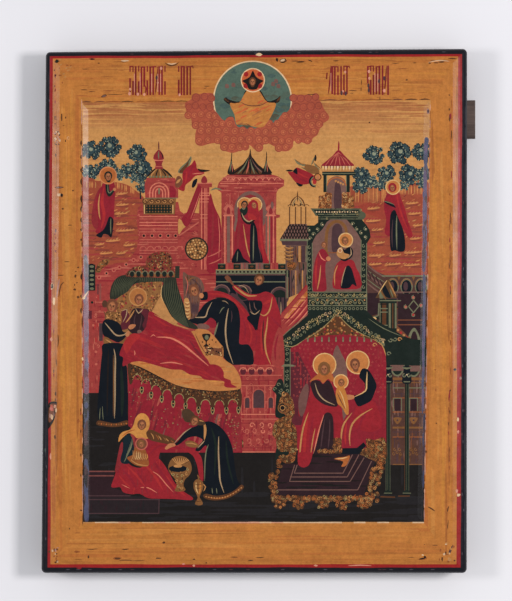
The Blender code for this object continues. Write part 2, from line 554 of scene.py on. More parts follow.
def tree(x, y, radius):
    lobes = max(6, round(radius * 1.5))
    places = [(0.0, 0.0, 0.62)]
    for i in range(lobes):
        angle = 2 * math.pi * (i + hand.uniform(-0.25, 0.25)) / lobes
        reach = radius * hand.uniform(0.68, 0.86)
        places.append((reach * math.cos(angle), reach * math.sin(angle) * 0.92, hand.uniform(0.24, 0.33)))
    for across, up, size in places:
        petals = 7
        edge = []
        for i in range(petals * 2):
            angle = math.pi * i / petals
            reach = radius * size * (1.08 if i % 2 else 0.84)
            edge.append((x + across + reach * math.cos(angle), y + up + reach * math.sin(angle)))
        fill(FOLIAGE, edge)
    for across, up, size in places:
        inner = radius * size * 0.62
        disc(between(FOLIAGE, FOLIAGE_MID, hand.uniform(0.3, 0.8)), x + across, y + up, inner, count=9)
        dots = 5 if size < 0.5 else 12
        for i in range(dots):
            angle = 2 * math.pi * (i + hand.random() * 0.6) / dots
            reach = radius * size * hand.uniform(0.5, 0.9)
            tone = hand.choice((FOLIAGE_MID, FOLIAGE_LIGHT, FOLIAGE_LIGHT, FOLIAGE_MID))
            px, py = x + across + reach * math.cos(angle), y + up + reach * math.sin(angle)
            disc(tone, px, py, hand.uniform(0.3, 0.55), count=5)
    disc(FOLIAGE_LIGHT, x + hand.uniform(-1, 1), y + radius * 0.12, radius * 0.2, count=8)
    for i in range(5):
        angle = 2 * math.pi * i / 5
        disc(FOLIAGE_MID, x + radius * 0.3 * math.cos(angle), y + radius * 0.3 * math.sin(angle), 0.5,
             count=6)


line(FOLIAGE, 1.0, 66.5, 262, 66.8, 254)
woods = (
    33, 287, 6.8, 46, 289.5, 7.6, 64.5, 285, 6.6, 36, 273, 5.6, 30.5, 273, 4.6, 44.5, 276, 6, 50, 272, 4,
    58, 273.5, 5.6, 53, 269.5, 3.4, 67.5, 274, 7.2, 68.5, 263, 5, 62, 268, 3.4, 225.5, 284, 6.9, 243,
    285.5, 8, 257.8, 286.5, 6.4, 217, 270.5, 6.2, 216.5, 263, 6.2, 223, 265.5, 5, 234, 271, 6.4, 230.5,
    263.5, 4.6, 249.5, 270.5, 7.2, 246, 263, 3.8, 259.5, 271, 5, 258, 264.5, 3.6,
)
for x, y, radius in zip(woods[::3], woods[1::3], woods[2::3]):
    tree(x, y, radius)


def tracery(count, x0, y0, x1, y1, inside):
    """Faint small scrolls scattered over a red wall."""
    for _ in range(count):
        tone = between(WALL, hand.choice((ROSE, WALL_PINK, WALL_DARK, MAROON, ROSE)),
                       hand.uniform(0.25, 0.75))
        x, y, size = hand.uniform(x0, x1), hand.uniform(y0, y1), hand.uniform(0.6, 1.4)
        curl(tone, 0.34, x, y, size, hand.uniform(0, 360), inside=inside)


# The saint standing at the left, in a red mantle over a dark robe.
form(WALL_DARK, 33.5, 238, 34, 247, 36, 256, 40, 262, 41, 250, 39, 240, 37, 233)
form(
    CRIMSON, 42.5, 266, 39.5, 261.5, 37, 255, 36, 249, 37.5, 243, 38, 236, 36, 231.5, 40, 230.5, 44, 236,
    46, 241.5, 48.3, 240, 49, 250, 49.5, 258, 49, 265, 46, 266.5,
)
stroke(SCARLET, 2.2, 42, 262, 40.5, 252, 42, 243, 40, 234)
stroke(GOLD, 1.0, 39.2, 258, 38.2, 251, 38.6, 244, 39.4, 240)
form(NAVY, 45.5, 242, 48.3, 240, 48, 234, 47.5, 229.5, 46.5, 227.8, 44.5, 229.6, 41.5, 230, 40, 227.6,
     36.5, 229.4, 41, 232.5, 43.6, 237)
stroke(GREEN_GREY, 0.8, 46.6, 241, 46.4, 236, 46.6, 230)
form(GREEN, 43, 265, 43.2, 259, 44.6, 256, 46.6, 256, 49, 259.5, 49, 261.5, 46, 259, 45, 264.5)
stroke(GREEN_GREY, 0.8, 44.4, 264, 44.6, 259.5, 45.8, 258, 48.4, 260.6)
disc(FLESH, 49, 260.5, 1.1, count=8)
halo(44.6, 270, 6.1, OCHRE_RED, pigment(206, 128, 78))
head(44.8, 269.3, 3.5, 4, hair=GREEN, beard=GREEN)

# The saint standing at the right, veiled in red over a dark robe.
form(CRIMSON, 236, 258, 233, 254, 232.5, 247, 234, 240, 233, 231, 237, 229, 240, 238, 241, 248)
form(NAVY, 237, 219.3, 236.4, 231, 236.8, 243, 239.8, 246.5, 243, 240, 246.2, 230, 246.8, 219.6, 243.5,
     218, 240, 219)
stroke(GREEN_GREY, 1.0, 241.2, 243, 240.9, 232, 241.3, 219.5)
stroke(PURPLE_DARK, 0.8, 238.4, 240, 237.8, 230, 238.2, 221)
form(
    RED, 239, 266, 236.4, 262, 237, 257, 233.6, 253.4, 240, 250, 240.4, 246, 243.5, 238, 247, 231, 249.4,
    227.6, 252, 228.5, 251, 233, 248.6, 240, 246.6, 248, 243.6, 256, 242, 262,
)
stroke(CRIMSON, 1.1, 243, 256, 245, 246, 248, 237, 250, 231)
stroke(SCARLET, 1.2, 241, 259, 242.4, 250, 245.6, 240, 249, 233)
stroke(NAVY, 2.2, 232.6, 252.2, 236, 251, 240.4, 248.2)
stroke(GREEN_GREY, 0.7, 231.8, 252.6, 236, 251.6, 239.6, 250)
halo(238.6, 262, 5.2, HALO, GOLD_PALE)
head(238.2, 261.6, 2.9, 8, hair=RED, veil=RED)

# Rose-red houses at the left, one with a small domed church on its roof.
area(
    WALL, 27, 120, 27, 207, 45, 209, 58, 211, 64, 220, 65.5, 228, 64, 240, 65, 248, 70, 252, 92.4, 252,
    93.6, 246, 96, 244, 99, 245, 109, 244, 122, 205, 166, 205, 166, 81.5, 58, 81.5, 58, 120,
)
houses = len(coats) - 1
streaks((WALL_DARK, CRIMSON, WALL_PINK), 150, 34, 160, 120, 246, 18, 1.2, inside=houses)
tracery(230, 64, 206, 120, 251, houses)
tracery(60, 36, 124, 58, 206, houses)
for y in (242, 240.4, 238, 236, 233.6, 231.6, 226.4, 224.4, 219, 217):
    line(WALL_PINK if y % 2 else ROSE, 0.55, 66, y, 92, y, inside=houses)
for x in (69, 74.6, 80.2, 85.6, 90.6):
    disc(WALL_PINK, x, 229, 1.5, count=10)
    disc(INK, x, 229, 0.9, count=8)
for x in range(66, 92, 5):
    arc(WALL_PINK, 0.5, x + 2.5, 219.5, 2.2, 0, 180)
area(WALL, 70, 254.6, 92.4, 254.6, 92.4, 264, 90, 268.4, 71, 268.4, 69.5, 264)
streaks((WALL_PINK, WALL_DARK), 16, 70, 256, 92, 268, 10, 0.8)
for reach in (6.4, 4.3, 2.4):
    arc(ROSE, 0.8, 79.4, 258.6, reach, 0, 180)
    line(ROSE, 0.8, 79.4 - reach, 258.6, 79.4 - reach, 255)
    line(ROSE, 0.8, 79.4 + reach, 258.6, 79.4 + reach, 255)
line(GREEN_GREY, 1.2, 79.4, 261.4, 79.4, 257.2)
area(CRIMSON, 86.6, 254, 90.4, 254, 91, 260, 89, 262.6, 86.6, 263)
area(GOLD_DARK, 72, 268.2, 88, 268.2, 84.6, 273, 81, 275.2, 77.4, 275.2, 74, 272.6)
for x, tone in ((74.5, GOLD), (77.5, INK), (80.5, GOLD), (83.5, INK), (86, BROWN)):
    stroke(tone, 0.9, 79.4 + (x - 79.4) * 0.3, 274.4, x, 271, x + (x - 79.4) * 0.1, 268.6)
stroke(INK, 1.3, 80.6, 275.4, 85, 272.2, 88.8, 268.4)
stroke(INK, 1.1, 77.6, 275.4, 74, 272, 71, 268.8)
beads(GREEN_GREY, 0.7, 73.4, 269.2, 86.4, 269.2, 7)
area(WALL_DARK, 76.4, 274.4, 82.2, 274.4, 81.2, 277.4, 82.4, 280.6, 76.2, 280.6, 77.2, 277.4)
line(ROSE, 0.6, 76, 280.3, 82.6, 280.3)
line(WALL_PINK, 0.6, 76.6, 276, 81.8, 276)
form(WALL_DARK, 76, 280.8, 75.8, 283.6, 77.4, 286, 79.2, 287.6, 81, 286, 82.4, 283.4, 82.2, 280.8)
stroke(GREEN_GREY, 0.9, 79.2, 286.6, 79, 284, 79.2, 281)
stroke(INK, 0.7, 81.6, 281.6, 81.8, 283.6, 80, 286.4)
stroke(MAROON, 0.9, 79.2, 287, 79.2, 290, 79.1, 293.2)
line(GREEN_GREY, 0.5, 70, 254.6, 92, 254.6)
area(GOLD_DARK, 69, 243.4, 90, 243.4, 91, 254.4, 68, 254.4)
for x in (70, 74.4, 78.8, 83.2, 87.6):
    disc(BROWN, x, 252.4, 2.1, 1.9, count=10)
    curl(GOLD, 0.55, x, 252.4, 1.5, hand.choice((0, 180)))
area(GREEN, 70, 244.4, 88, 244.4, 88, 250.2, 70, 250.2)
for x in range(9):
    for y in (245.4, 247.4, 249.2):
        disc(GOLD_DARK if (x + y) % 2 else GOLD, 71 + x * 2, y, 0.55, count=6)
line(GOLD_PALE, 0.6, 69.4, 244, 69.4, 250)
line(GOLD_PALE, 0.6, 88.8, 244, 88.8, 250)

# Glimpses of the sky, a red cloth hung between the roofs, and the tower that holds it.
form(SKY, 92.6, 240, 95, 239, 97.5, 236, 100, 236.6, 102, 240.4, 104.4, 247, 106.4, 251.4, 107.4, 248,
     107.4, 240.6, 101.4, 237.4, 96, 234, 92.6, 230)
line(WALL_PINK, 0.9, 93, 229, 107, 238.6)
area(WALL, 105, 205, 107.3, 262, 105.4, 262, 105.4, 265, 115.4, 265, 115.4, 262, 113.6, 262, 114, 205)
for x, tone in ((108.3, ROSE), (109.5, WALL_DARK), (110.6, ROSE), (111.8, WALL_PINK), (112.9, WALL_DARK)):
    line(tone, 0.6, x, 206, x, 261.4)
for y in (258, 256.4, 254, 252, 243.4, 241):
    line(ROSE, 0.5, 107.4, y, 113.6, y)
line(ROSE, 0.7, 105.4, 264.8, 115.4, 264.8)
form(WALL_DARK, 108.4, 265, 108.2, 267.6, 110.2, 269.8, 112, 267.6, 111.8, 265)
form(CRIMSON, 105.6, 263, 103, 257, 100, 249.4, 98, 244.4, 94.6, 240.6, 96.4, 236.2, 98.4, 235.2, 101,
     238.6, 103.6, 245, 106, 252, 108, 259, 108, 262.6)
stroke(WALL_DARK, 1.4, 105.6, 260, 102.6, 250.6, 98.6, 241)
stroke(ROSE, 0.5, 107.4, 258.6, 104.4, 249.6, 100.8, 240.4)
form(CRIMSON, 114.2, 258, 116.4, 251, 118.6, 245.4, 121, 240, 122.4, 226, 122.6, 212, 119, 205, 112, 205,
     112.4, 226, 112.4, 245)
stroke(WALL_DARK, 1.6, 116, 248, 116, 232, 115, 214)
stroke(ROSE, 0.5, 119.4, 243, 120.6, 230, 120, 214)
stroke(WALL_PINK, 0.8, 112.4, 214.6, 117.6, 216.6, 122, 219.4)
stroke(WALL_PINK, 0.8, 113, 209.6, 118, 211.4, 122, 213.8)

# The round gilded boss on the wall.
disc(GREEN, 104.9, 220, 8.0, count=28)
disc(GOLD_DARK, 104.9, 220, 7.1, count=24)
for ring, count in ((6.2, 20), (4.6, 15), (3.0, 10), (1.3, 5)):
    for i in range(count):
        angle = 2 * math.pi * (i + ring) / count
        tone = hand.choice((GOLD, GOLD_PALE, GREEN, GOLD))
        disc(tone, 104.9 + ring * math.cos(angle), 220 + ring * math.sin(angle), 0.62, count=6)

# The dark floor at the foot of the picture, and the plum steps at its left.
area(DUSK, 27, 33, 27, 122, 60, 122, 60, 83, 262, 83, 262, 33)
ground = len(coats) - 1
streaks((DUSK, DUSK_BLUE, DUSK), 90, 30, 52, 258, 82, 26, 2.0, True, inside=ground)
streaks((DUSK_BLUE, DUSK_BLUE, DUSK), 110, 28, 34, 260, 54, 40, 2.4, inside=ground)
streaks((DUSK_BLUE, DUSK), 30, 28, 70, 60, 100, 14, 1.6, inside=ground)
area(PLUM, 30, 50, 31, 69, 49, 69, 47.6, 58, 57, 54, 60, 50)
area(between(PLUM, DUSK_BLUE, 0.6), 28, 40, 28, 51, 60, 51, 80, 50, 79, 40)
streaks((DUSK_BLUE, PLUM), 26, 31, 41, 78, 49, 7, 1.0, True)
for y, x0, x1 in ((68.6, 29.6, 49.2), (65.6, 30, 48.6), (52, 31, 60), (49.4, 27.6, 80), (40, 29, 79.4)):
    line(between(PURPLE_DARK, WALL_PINK, 0.3 if y > 60 else 0), 0.9 if y > 60 else 0.7, x0, y, x1, y)
line(PURPLE_DARK, 0.7, 79.2, 40, 79.4, 49.4)
line(PURPLE_DARK, 0.6, 30, 41, 30, 49)

# The crimson wall behind the bed, with low arches and small windows.
area(WALL, 118, 81.4, 118, 143, 169, 143, 169, 81.4)
low_wall = len(coats) - 1
streaks((WALL_DARK, CRIMSON, RED), 80, 132, 82, 168, 142, 10, 1.2, True, inside=low_wall)
tracery(150, 134, 83, 164, 141, low_wall)
for x in (136.6, 142.4, 148.4, 154.4):
    disc(MAROON, x, 136.6, 2.0, 2.4, count=12, inside=low_wall)
    arc(ROSE, 0.7, x, 136.6, 2.5, 0, 180)
    arc(WALL_PINK, 0.5, x, 139.6, 1.6, 180, 360)
for y, tone in ((141, WALL_PINK), (134, WALL_PINK), (130.4, WALL_DARK), (127, WALL_PINK), (107.4, ROSE),
                (104.2, WALL_PINK), (101.4, WALL_DARK), (84.6, WALL_DARK), (81.8, ROSE)):
    line(tone, 0.6, 134.4, y, 163 if y > 100 else 158, y)
for x in (135.4, 139, 143.4, 151.4, 155.4, 158.6):
    line(WALL_PINK, 0.5, x, 108, x, 126.4)
for x, wide, tall in ((147.2, 3.7, 12.4), (139.4, 1.5, 7), (155.4, 1.5, 7)):
    arc(between(WALL_PINK, WALL, 0.3), 0.6, x, 111.8 + tall - wide, wide + 0.5, 0, 180)
    area(PURPLE_DARK, x - wide, 111.8, x + wide, 111.8, x + wide, 111.8 + tall - wide, x - wide,
         111.8 + tall - wide)
    disc(PURPLE_DARK, x, 111.8 + tall - wide, wide, count=16)
    for side in (-1, 1):
        line(WALL_PINK, 0.5, x + side * (wide + 0.5), 111.4, x + side * (wide + 0.5), 111.8 + tall - wide)
for x, y in ((139, 96), (144.6, 96), (150.4, 96), (155.6, 95), (140.4, 89.6), (146.6, 89.6),
             (152.6, 89.6), (142.6, 100), (149, 100.4), (154.6, 100)):
    curl(hand.choice((ROSE, WALL_PINK)), 0.6, x, y, 2.0, hand.choice((0, 90, 180, 270)))
    disc(WALL_DARK, x, y - 3, 0.8, count=8)
scrollwork(129.4, 84.4, 136.2, 90.4, 1.4)

# The walls at the far right: a dark gallery with arches, a stair, and a small green turret.
area(between(PURPLE_DARK, BROWN, 0.4), 217, 140, 217, 211.6, 221, 210, 228, 204.4, 234, 201.8, 262, 201.8,
     262, 140)
gallery = len(coats) - 1
streaks((PLUM, BROWN, PURPLE_DARK, GREEN), 70, 221, 158, 258, 190, 10, 1.4, inside=gallery)
area(PLUM, 221, 173.6, 221, 190, 229, 190, 229, 176)
line(GREEN_GREY, 0.8, 220.6, 190, 220.6, 174.6, 224, 173.2, 228.6, 174.6, 229, 183)
for shift, tone, width in ((0, PURPLE, 1.2), (-3.4, GREEN_GREY, 0.6), (-6.4, PURPLE, 1.2),
                           (-9.6, GREEN_GREY, 0.6), (-12.4, PURPLE, 1.0)):
    stroke(tone, width, 220.6, 209.4 + shift, 227, 204.4 + shift, 233.4, 200.4 + shift)
for x in (221, 224, 227, 230):
    line(PLUM, 0.7, x, 206 - (x - 221) * 0.8, x + 2.6, 199.6 - (x - 221) * 0.8)
line(GREEN_GREY, 1.0, 231, 201.6, 262, 201.6)
for x in (238.4, 247.8, 257.6):
    disc(GREEN_GREY, x, 194.6, 4.3, 5.6, count=18, inside=gallery)
    disc(NAVY, x, 194, 3.4, 4.9, count=16, inside=gallery)
    disc(PURPLE_DARK, x - 0.6, 194.6, 1.6, 3.2, count=10, inside=gallery)
    arc(OCHRE_DARK, 0.5, x, 194.4, 3.9, 10, 170, 5.2, inside=gallery)
for x in (242.6, 252.6):
    area(GOLD_DARK, x - 1.2, 201.4, x + 1.2, 201.4, x, 198.4, inside=gallery)
line(PURPLE, 0.7, 236, 190.6, 262, 190.6)
area(PLUM, 242, 158, 242, 189.6, 262, 189.6, 262, 158)
for x, y in ((252.6, 186.8), (252.6, 175), (247.4, 180.4), (257.8, 181.4)):
    disc(WALL_PINK if y > 176 else SCARLET, x, y, 1.1, count=8)
    curl(GREEN_GREY, 0.6, x, y, 1.7, 90)
line(GREEN_GREY, 0.7, 252.6, 185, 249.2, 180.8, 252.6, 176.6, 256, 180.8, 252.6, 185)
line(FLESH_DARK, 0.8, 241.6, 171.6, 259, 171.6)
line(FLESH_DARK, 0.8, 241.6, 168.4, 259, 168.4)
form(FLESH_DARK, 236.6, 168, 240.4, 168.4, 246, 163.4, 249.4, 159, 245.6, 157.6, 238, 162)
for x, y in ((240, 166.4), (242, 164.8), (244, 163), (246, 161.2), (248, 159.6)):
    disc(GOLD if int(x) % 4 else SCARLET, x, y, 0.9, count=8)
area(GREEN, 229.4, 164, 229.4, 186, 241, 186, 241, 164)
for x, tone, width in ((229.8, GREEN_GREY, 0.6), (232.6, BROWN, 2.8), (235, GREEN, 1),
                       (236.4, GREEN_GREY, 1.4), (238.4, BROWN, 0.9), (240.4, GREEN_GREY, 1.2)):
    line(tone, width, x, 166, x, 183)
for y, tone in ((184.8, GREEN_GREY), (182.4, INK), (179.4, GREEN_GREY), (168, GREEN_GREY),
                (177, GREEN_GREY)):
    line(tone, 0.7, 229.6, y, 235 if y != 184.8 else 244, y)
area(between(GREEN, GOLD_DARK, 0.45), 236, 199.6, 233.6, 198, 226.6, 186.6, 241.4, 186.6)
form(NAVY, 232.6, 196, 236, 190, 237, 186.6, 233.6, 187.6, 231.4, 192)
form(GREEN_GREY, 229.4, 190, 231, 191, 232.4, 187, 229.6, 186.4)
stroke(GOLD_DARK, 1.0, 229.6, 192.4, 232, 188.6, 233.8, 185.4)
stroke(GOLD_DARK, 1.5, 235.4, 198.4, 238, 192.4, 240.8, 187)
stroke(GOLD, 0.7, 236, 197.4, 238.4, 192.4, 240.6, 188)
stroke(GOLD_PALE, 0.7, 234.6, 198.8, 232, 195, 228.4, 189)
stroke(GREEN_GREY, 0.8, 236.4, 193, 237.6, 190, 238.6, 187)
area(GREEN, 224, 172.6, 226.6, 172, 229.6, 169.6, 228.4, 166, 221, 166)
form(GOLD_PALE, 221.4, 173, 224.4, 168.6, 227.4, 172.6, 224.6, 173.8)
disc(GREEN, 224.4, 171.4, 1.4, count=8)
for x, y in ((231.4, 164.6), (234, 163), (230, 161.4), (236.6, 159.6)):
    curl(CREAM, 0.7, x, y, 1.7, hand.choice((0, 90, 180)))

# Below the gallery, two green columns under arches, and the wall behind them.
area(GREEN, 232, 139, 232, 160, 240, 158.6, 262, 158.6, 262, 139)
area(between(PURPLE_DARK, BROWN, 0.5), 236, 73, 236, 140, 262, 140, 262, 73)
back_wall = len(coats) - 1
streaks((PURPLE_DARK, FLESH_DARK, PURPLE, BROWN, PURPLE), 90, 238, 74, 260, 138, 10, 1.2, True,
        inside=back_wall)
for y, tone, width in (
    (131.6, GOLD_DARK, 1.8), (129, GOLD_DARK, 0.6), (125.4, GREEN_GREY, 0.6), (121.4, PURPLE_DARK, 0.6),
    (118.6, OCHRE_DARK, 0.6), (109, OCHRE_DARK, 0.6), (106, PURPLE_DARK, 0.5), (98.4, GOLD_DARK, 1.3),
    (95.4, PURPLE_DARK, 0.6), (92, OCHRE_DARK, 0.6), (73.2, GOLD_DARK, 0.9),
):
    line(tone, width, 238.4, y, 262, y, inside=back_wall)
for x in (241.6, 252.6):
    area(PLUM, x - 1.9, 109.8, x + 1.9, 109.8, x + 1.9, 118, x - 1.9, 118)
    line(GREEN_GREY, 0.5, x - 2.8, 109.6, x - 2.8, 118.4, x + 2.8, 118.4, x + 2.8, 109.6, inside=back_wall)
    form(GOLD_DARK, x - 2.8, 105, x + 2.8, 105, x + 1, 101.4, x - 0.6, 101)
    disc(PURPLE_DARK, x, 103.4, 0.7, count=8)
    for dx, dy in ((-1.6, 83.4), (1.6, 83.4), (0, 81.4), (-2.4, 80.4), (2.4, 80.4)):
        curl(GOLD_DARK, 0.5, x + dx, dy, 1.2, 90)
    disc(PURPLE_DARK, x, 91, 1.0, count=8)
for x, y in ((241.5, 141), (252.6, 140.6)):
    disc(GREEN_GREY, x, y, 5.0, 7.8, count=22)
    disc(GREEN, x, y, 3.9, 6.7, count=20)
    disc(GREEN, x, y, 4.6, 2, count=20)
    arc(GOLD_DARK, 0.5, x, y, 4.5, 0, 180, 7.2)
    area(PURPLE, x - 4.4, y - 4, x + 4.4, y - 4, x + 4.4, y, x - 4.4, y)
for x in (235.2, 248):
    area(GREEN, x - 1.5, 54, x + 1.5, 54, x + 1.5, 141, x - 1.5, 141)
    line(between(GREEN, GREEN_GREY, 0.5) if x < 240 else BROWN, 0.35, x - 1.4, 55, x - 1.4, 129)
    line(between(GREEN, GREEN_GREY, 0.5), 0.35, x + 1.4, 55, x + 1.4, 129)
    line(CANOPY_LIGHT, 0.35, x - 0.2, 56, x - 0.2, 128)
    form(NAVY, x - 2.8, 128.6, x - 3.0, 133, x - 2.2, 138, x - 2.6, 140, x + 2.6, 140, x + 2.2, 138,
         x + 3.0, 133, x + 2.8, 128.6)
    stroke(GREEN_GREY, 1.3, x - 3.4, 139.4, x, 138.6, x + 3.4, 139.4)
    for dx, dy in ((-1.6, 133.8), (1.6, 133.8)):
        curl(GREEN_GREY, 0.7, x + dx, dy, 1.5, 90)
    disc(CREAM, x, 134.4, 0.5, count=6)
    line(GREEN_GREY, 0.7, x - 2.2, 129.6, x + 2.2, 129.6)
    area(GREEN, x - 2.8, 53, x + 2.8, 53, x + 2.2, 55.4, x - 2.2, 55.4)
    line(GREEN_GREY, 0.5, x - 2.8, 53.8, x + 2.8, 53.8)
area(DUSK, 249.8, 54, 249.8, 72.4, 262, 72.4, 262, 54)
line(BROWN, 1.0, 230, 51.4, 240, 51)
line(BROWN, 0.8, 242, 51.8, 250, 51.8)
for x, y, tone in (
    (236, 147, GREEN_GREY), (236.4, 150, CREAM), (247.6, 145.4, GREEN_GREY), (250, 147.4, GREEN_GREY),
    (252.8, 148.6, CREAM), (236.6, 159, CREAM), (239, 158.6, GOLD_PALE), (242, 158.4, GOLD_PALE),
    (244.6, 157.6, GOLD), (228.4, 158.6, CREAM),
):
    curl(tone, 0.7, x, y, 1.6, hand.choice((0, 90, 180)))
form(GREEN_GREY, 250, 163, 248.4, 156.4, 251, 152.4, 253, 150.4, 255, 152.4, 257.4, 157, 255.6, 163, 253,
     166.4)
form(PLUM, 251.4, 162, 250.6, 157, 253, 154.4, 255.4, 157, 254.6, 162, 253, 164)
for x, y in ((249.6, 159.6), (249.4, 156.4), (251.6, 153.4), (254.6, 153.6), (256.4, 157)):
    disc(GOLD_DARK, x, y, 0.9, count=8)

# The red pavilion in the middle, with three dark tent roofs, and two people who embrace under its arch.
area(
    WALL, 119, 262, 120, 265, 123, 268, 126, 270.5, 157, 270.5, 160, 269.5, 164.5, 267, 164.5, 263, 160.5,
    260.5, 159.3, 258, 159, 243.6, 161.8, 243, 161.4, 241.4, 159.2, 241, 159.2, 205, 121.8, 205, 121.8,
    258, 119.4, 260,
)
pavilion = len(coats) - 1
streaks((WALL_PINK, WALL_DARK, WALL_DARK), 60, 120, 258, 164, 270, 12, 0.9, inside=pavilion)
streaks((WALL_PINK, WALL_DARK), 40, 121, 206, 159, 258, 18, 0.9, True, inside=pavilion)
tracery(170, 120, 206, 164, 270, pavilion)
form(SKY, 115.6, 257.6, 116.2, 259, 118.6, 259.6, 121.4, 258.6, 121.8, 253, 121, 248.6, 119, 247.8, 117.4,
     249.4)
stroke(GREEN_GREY, 1.2, 114.4, 259.8, 118, 261.2, 122.4, 260)
for x in range(122, 162, 4):
    arc(ROSE, 0.55, x + 2, 266.6, 1.9, 0, 180)
line(ROSE, 0.5, 121, 264.6, 164, 264.6)
line(WALL_PINK, 0.6, 123, 268.6, 160, 268.6)
for x, tone, width in (
    (122.8, WALL_DARK, 0.8), (124.2, ROSE, 0.8), (126.6, PURPLE, 2.2), (129.2, ROSE, 0.9),
    (130.3, WALL_DARK, 0.8), (152.4, PURPLE, 1.1), (153.6, ROSE, 0.6), (154.6, GREEN_GREY, 0.6),
    (155.8, CRIMSON, 1.2), (157.2, ROSE, 0.6), (158.4, WALL_DARK, 0.8),
):
    line(tone, width, x, 206, x, 246 if width > 1 else 243)
for x in (126.6, 155.4):
    form(WALL_PINK, x - 3, 243, x - 2, 245.4, x - 3.4, 247.6, x, 250.4, x + 3.4, 247.6, x + 2, 245.4,
         x + 3, 243)
    form(WALL_DARK, x - 1.2, 244, x - 1, 247, x, 248.6, x + 1, 247, x + 1.2, 244)
    line(ROSE, 0.6, x - 3.6, 242.6, x + 3.6, 242.6)
form(PURPLE, 155.8, 247.6, 155.4, 250.6, 156.4, 252.4, 157.4, 250.6, 157, 247.6)
form(
    PURPLE, 130.6, 232, 131, 240, 130.5, 247, 132, 253, 136, 257.6, 141.5, 259.4, 147, 257.6, 151, 253,
    152.2, 247, 151.6, 240, 150.4, 236, 141, 230,
)
area(WALL_DARK, 132.8, 206, 132.8, 246, 134.4, 252.2, 138, 256, 141.5, 257.2, 145, 256, 148.6, 252.2, 150,
     246, 149.8, 206)
form(HALO, 133.4, 249, 134.4, 252.8, 138, 255, 141, 254.4, 144.4, 255, 148, 252.4, 149, 248.4, 146, 244.6,
     141.5, 245.6, 137, 244.4)
for x, y in ((137.6, 250), (144.4, 250)):
    arc(GOLD_PALE, 0.7, x, y, 4.9, 20 if x < 141 else -40, 200 if x < 141 else 150)
form(CRIMSON, 134.4, 246.4, 133, 240, 131, 230, 130.6, 220, 128.8, 210.4, 137, 210.4, 150, 210.4, 149,
     228, 146, 240, 141, 247)
stroke(WALL_DARK, 2.0, 134.6, 243, 133.4, 230, 132.6, 219)
stroke(GOLD, 0.9, 136.6, 237, 138, 228, 139.6, 219, 142.6, 210.8)
form(
    RED, 139, 247, 141, 252, 144, 253.4, 146.4, 250.6, 147.4, 245, 149.8, 238, 150.4, 224, 153.2, 214,
    154, 208.4, 147, 208.6, 146.6, 222, 145.4, 236, 141, 239,
)
stroke(SCARLET, 1.5, 148, 242, 148.6, 228, 151, 214)
form(NAVY, 141.4, 211, 141.2, 224, 141.6, 236, 143.6, 238.6, 146, 233, 147, 222, 149.4, 215.6, 149.8,
     210.4, 145, 210.4)
stroke(GREEN_GREY, 0.9, 143.8, 236, 143.6, 224, 143.4, 212)
stroke(PURPLE_DARK, 0.6, 146.8, 222, 148.4, 216, 148.8, 211.6)
form(NAVY, 128.8, 210.8, 130.5, 216.4, 133, 220.3, 135, 218, 137, 213.6, 141, 210.6, 134, 210.4)
stroke(GREEN_GREY, 0.7, 133, 218.6, 132.6, 214.6, 132.4, 211.4)
form(GREEN, 134.2, 246.2, 136.6, 248.6, 139.4, 248.8, 139.6, 245.2, 137.2, 242.6)
stroke(INK, 2.4, 135, 245.4, 137, 240.4, 140.8, 237.6, 145.4, 241)
stroke(ROBE_LIGHT, 0.9, 135.6, 244.6, 137.4, 240.6, 140.8, 238.6, 145, 241.4)
head(137.4, 250, 2.9, -14, hair=GREEN, beard=GREEN_GREY)
head(144, 249.8, 2.9, 14, hair=RED, veil=RED)
form(SCARLET, 140, 244.4, 144, 243, 146, 240.4, 143, 239.6, 140.2, 241)
area(BROWN, 128.4, 270.6, 155.2, 270.6, 155.6, 272.2, 150, 275, 146, 278, 143, 281.6, 141.4, 286.4, 139.8,
     281.6, 137, 278, 132.6, 275, 128.2, 272.4)
for x, tone, width in (
    (129.6, INK, 1.6), (132.6, GREEN_GREY, 1.1), (135.6, INK, 1.7), (138.6, WALL_PINK, 1.0),
    (141.4, INK, 1.8), (144.4, GREEN_GREY, 1.1), (147.4, INK, 1.9), (150.6, PURPLE, 1.0),
    (153.8, INK, 1.7),
):
    stroke(tone, width, 141.4 + (x - 141.4) * 0.05, 283, 141.4 + (x - 141.4) * 0.42, 276.4, x, 271)
stroke(INK, 1.0, 141.4, 281, 141.4, 284.4, 141.5, 288)
for x, lean in ((128.8, -0.3), (152.6, 0.3)):
    form(INK, x - 2.8 - lean, 271, x - 2.6, 273.6, x - 1.0, 278, x - 0.1, 284, x + 0.4, 278,
         x + 1.8 + lean, 274.4, x + 2.6 + lean * 3, 271.4)
    stroke(GREEN_GREY, 0.8, x - 1.2, 272.4, x - 0.8, 276, x, 280)
    stroke(WALL_PINK, 0.6, x + 0.6, 272.4, x + 0.4, 275, x, 278)
    stroke(INK, 0.6, x, 281, x, 284, x - lean, 286.6)
line(INK, 0.7, 127, 270.8, 156, 270.8)

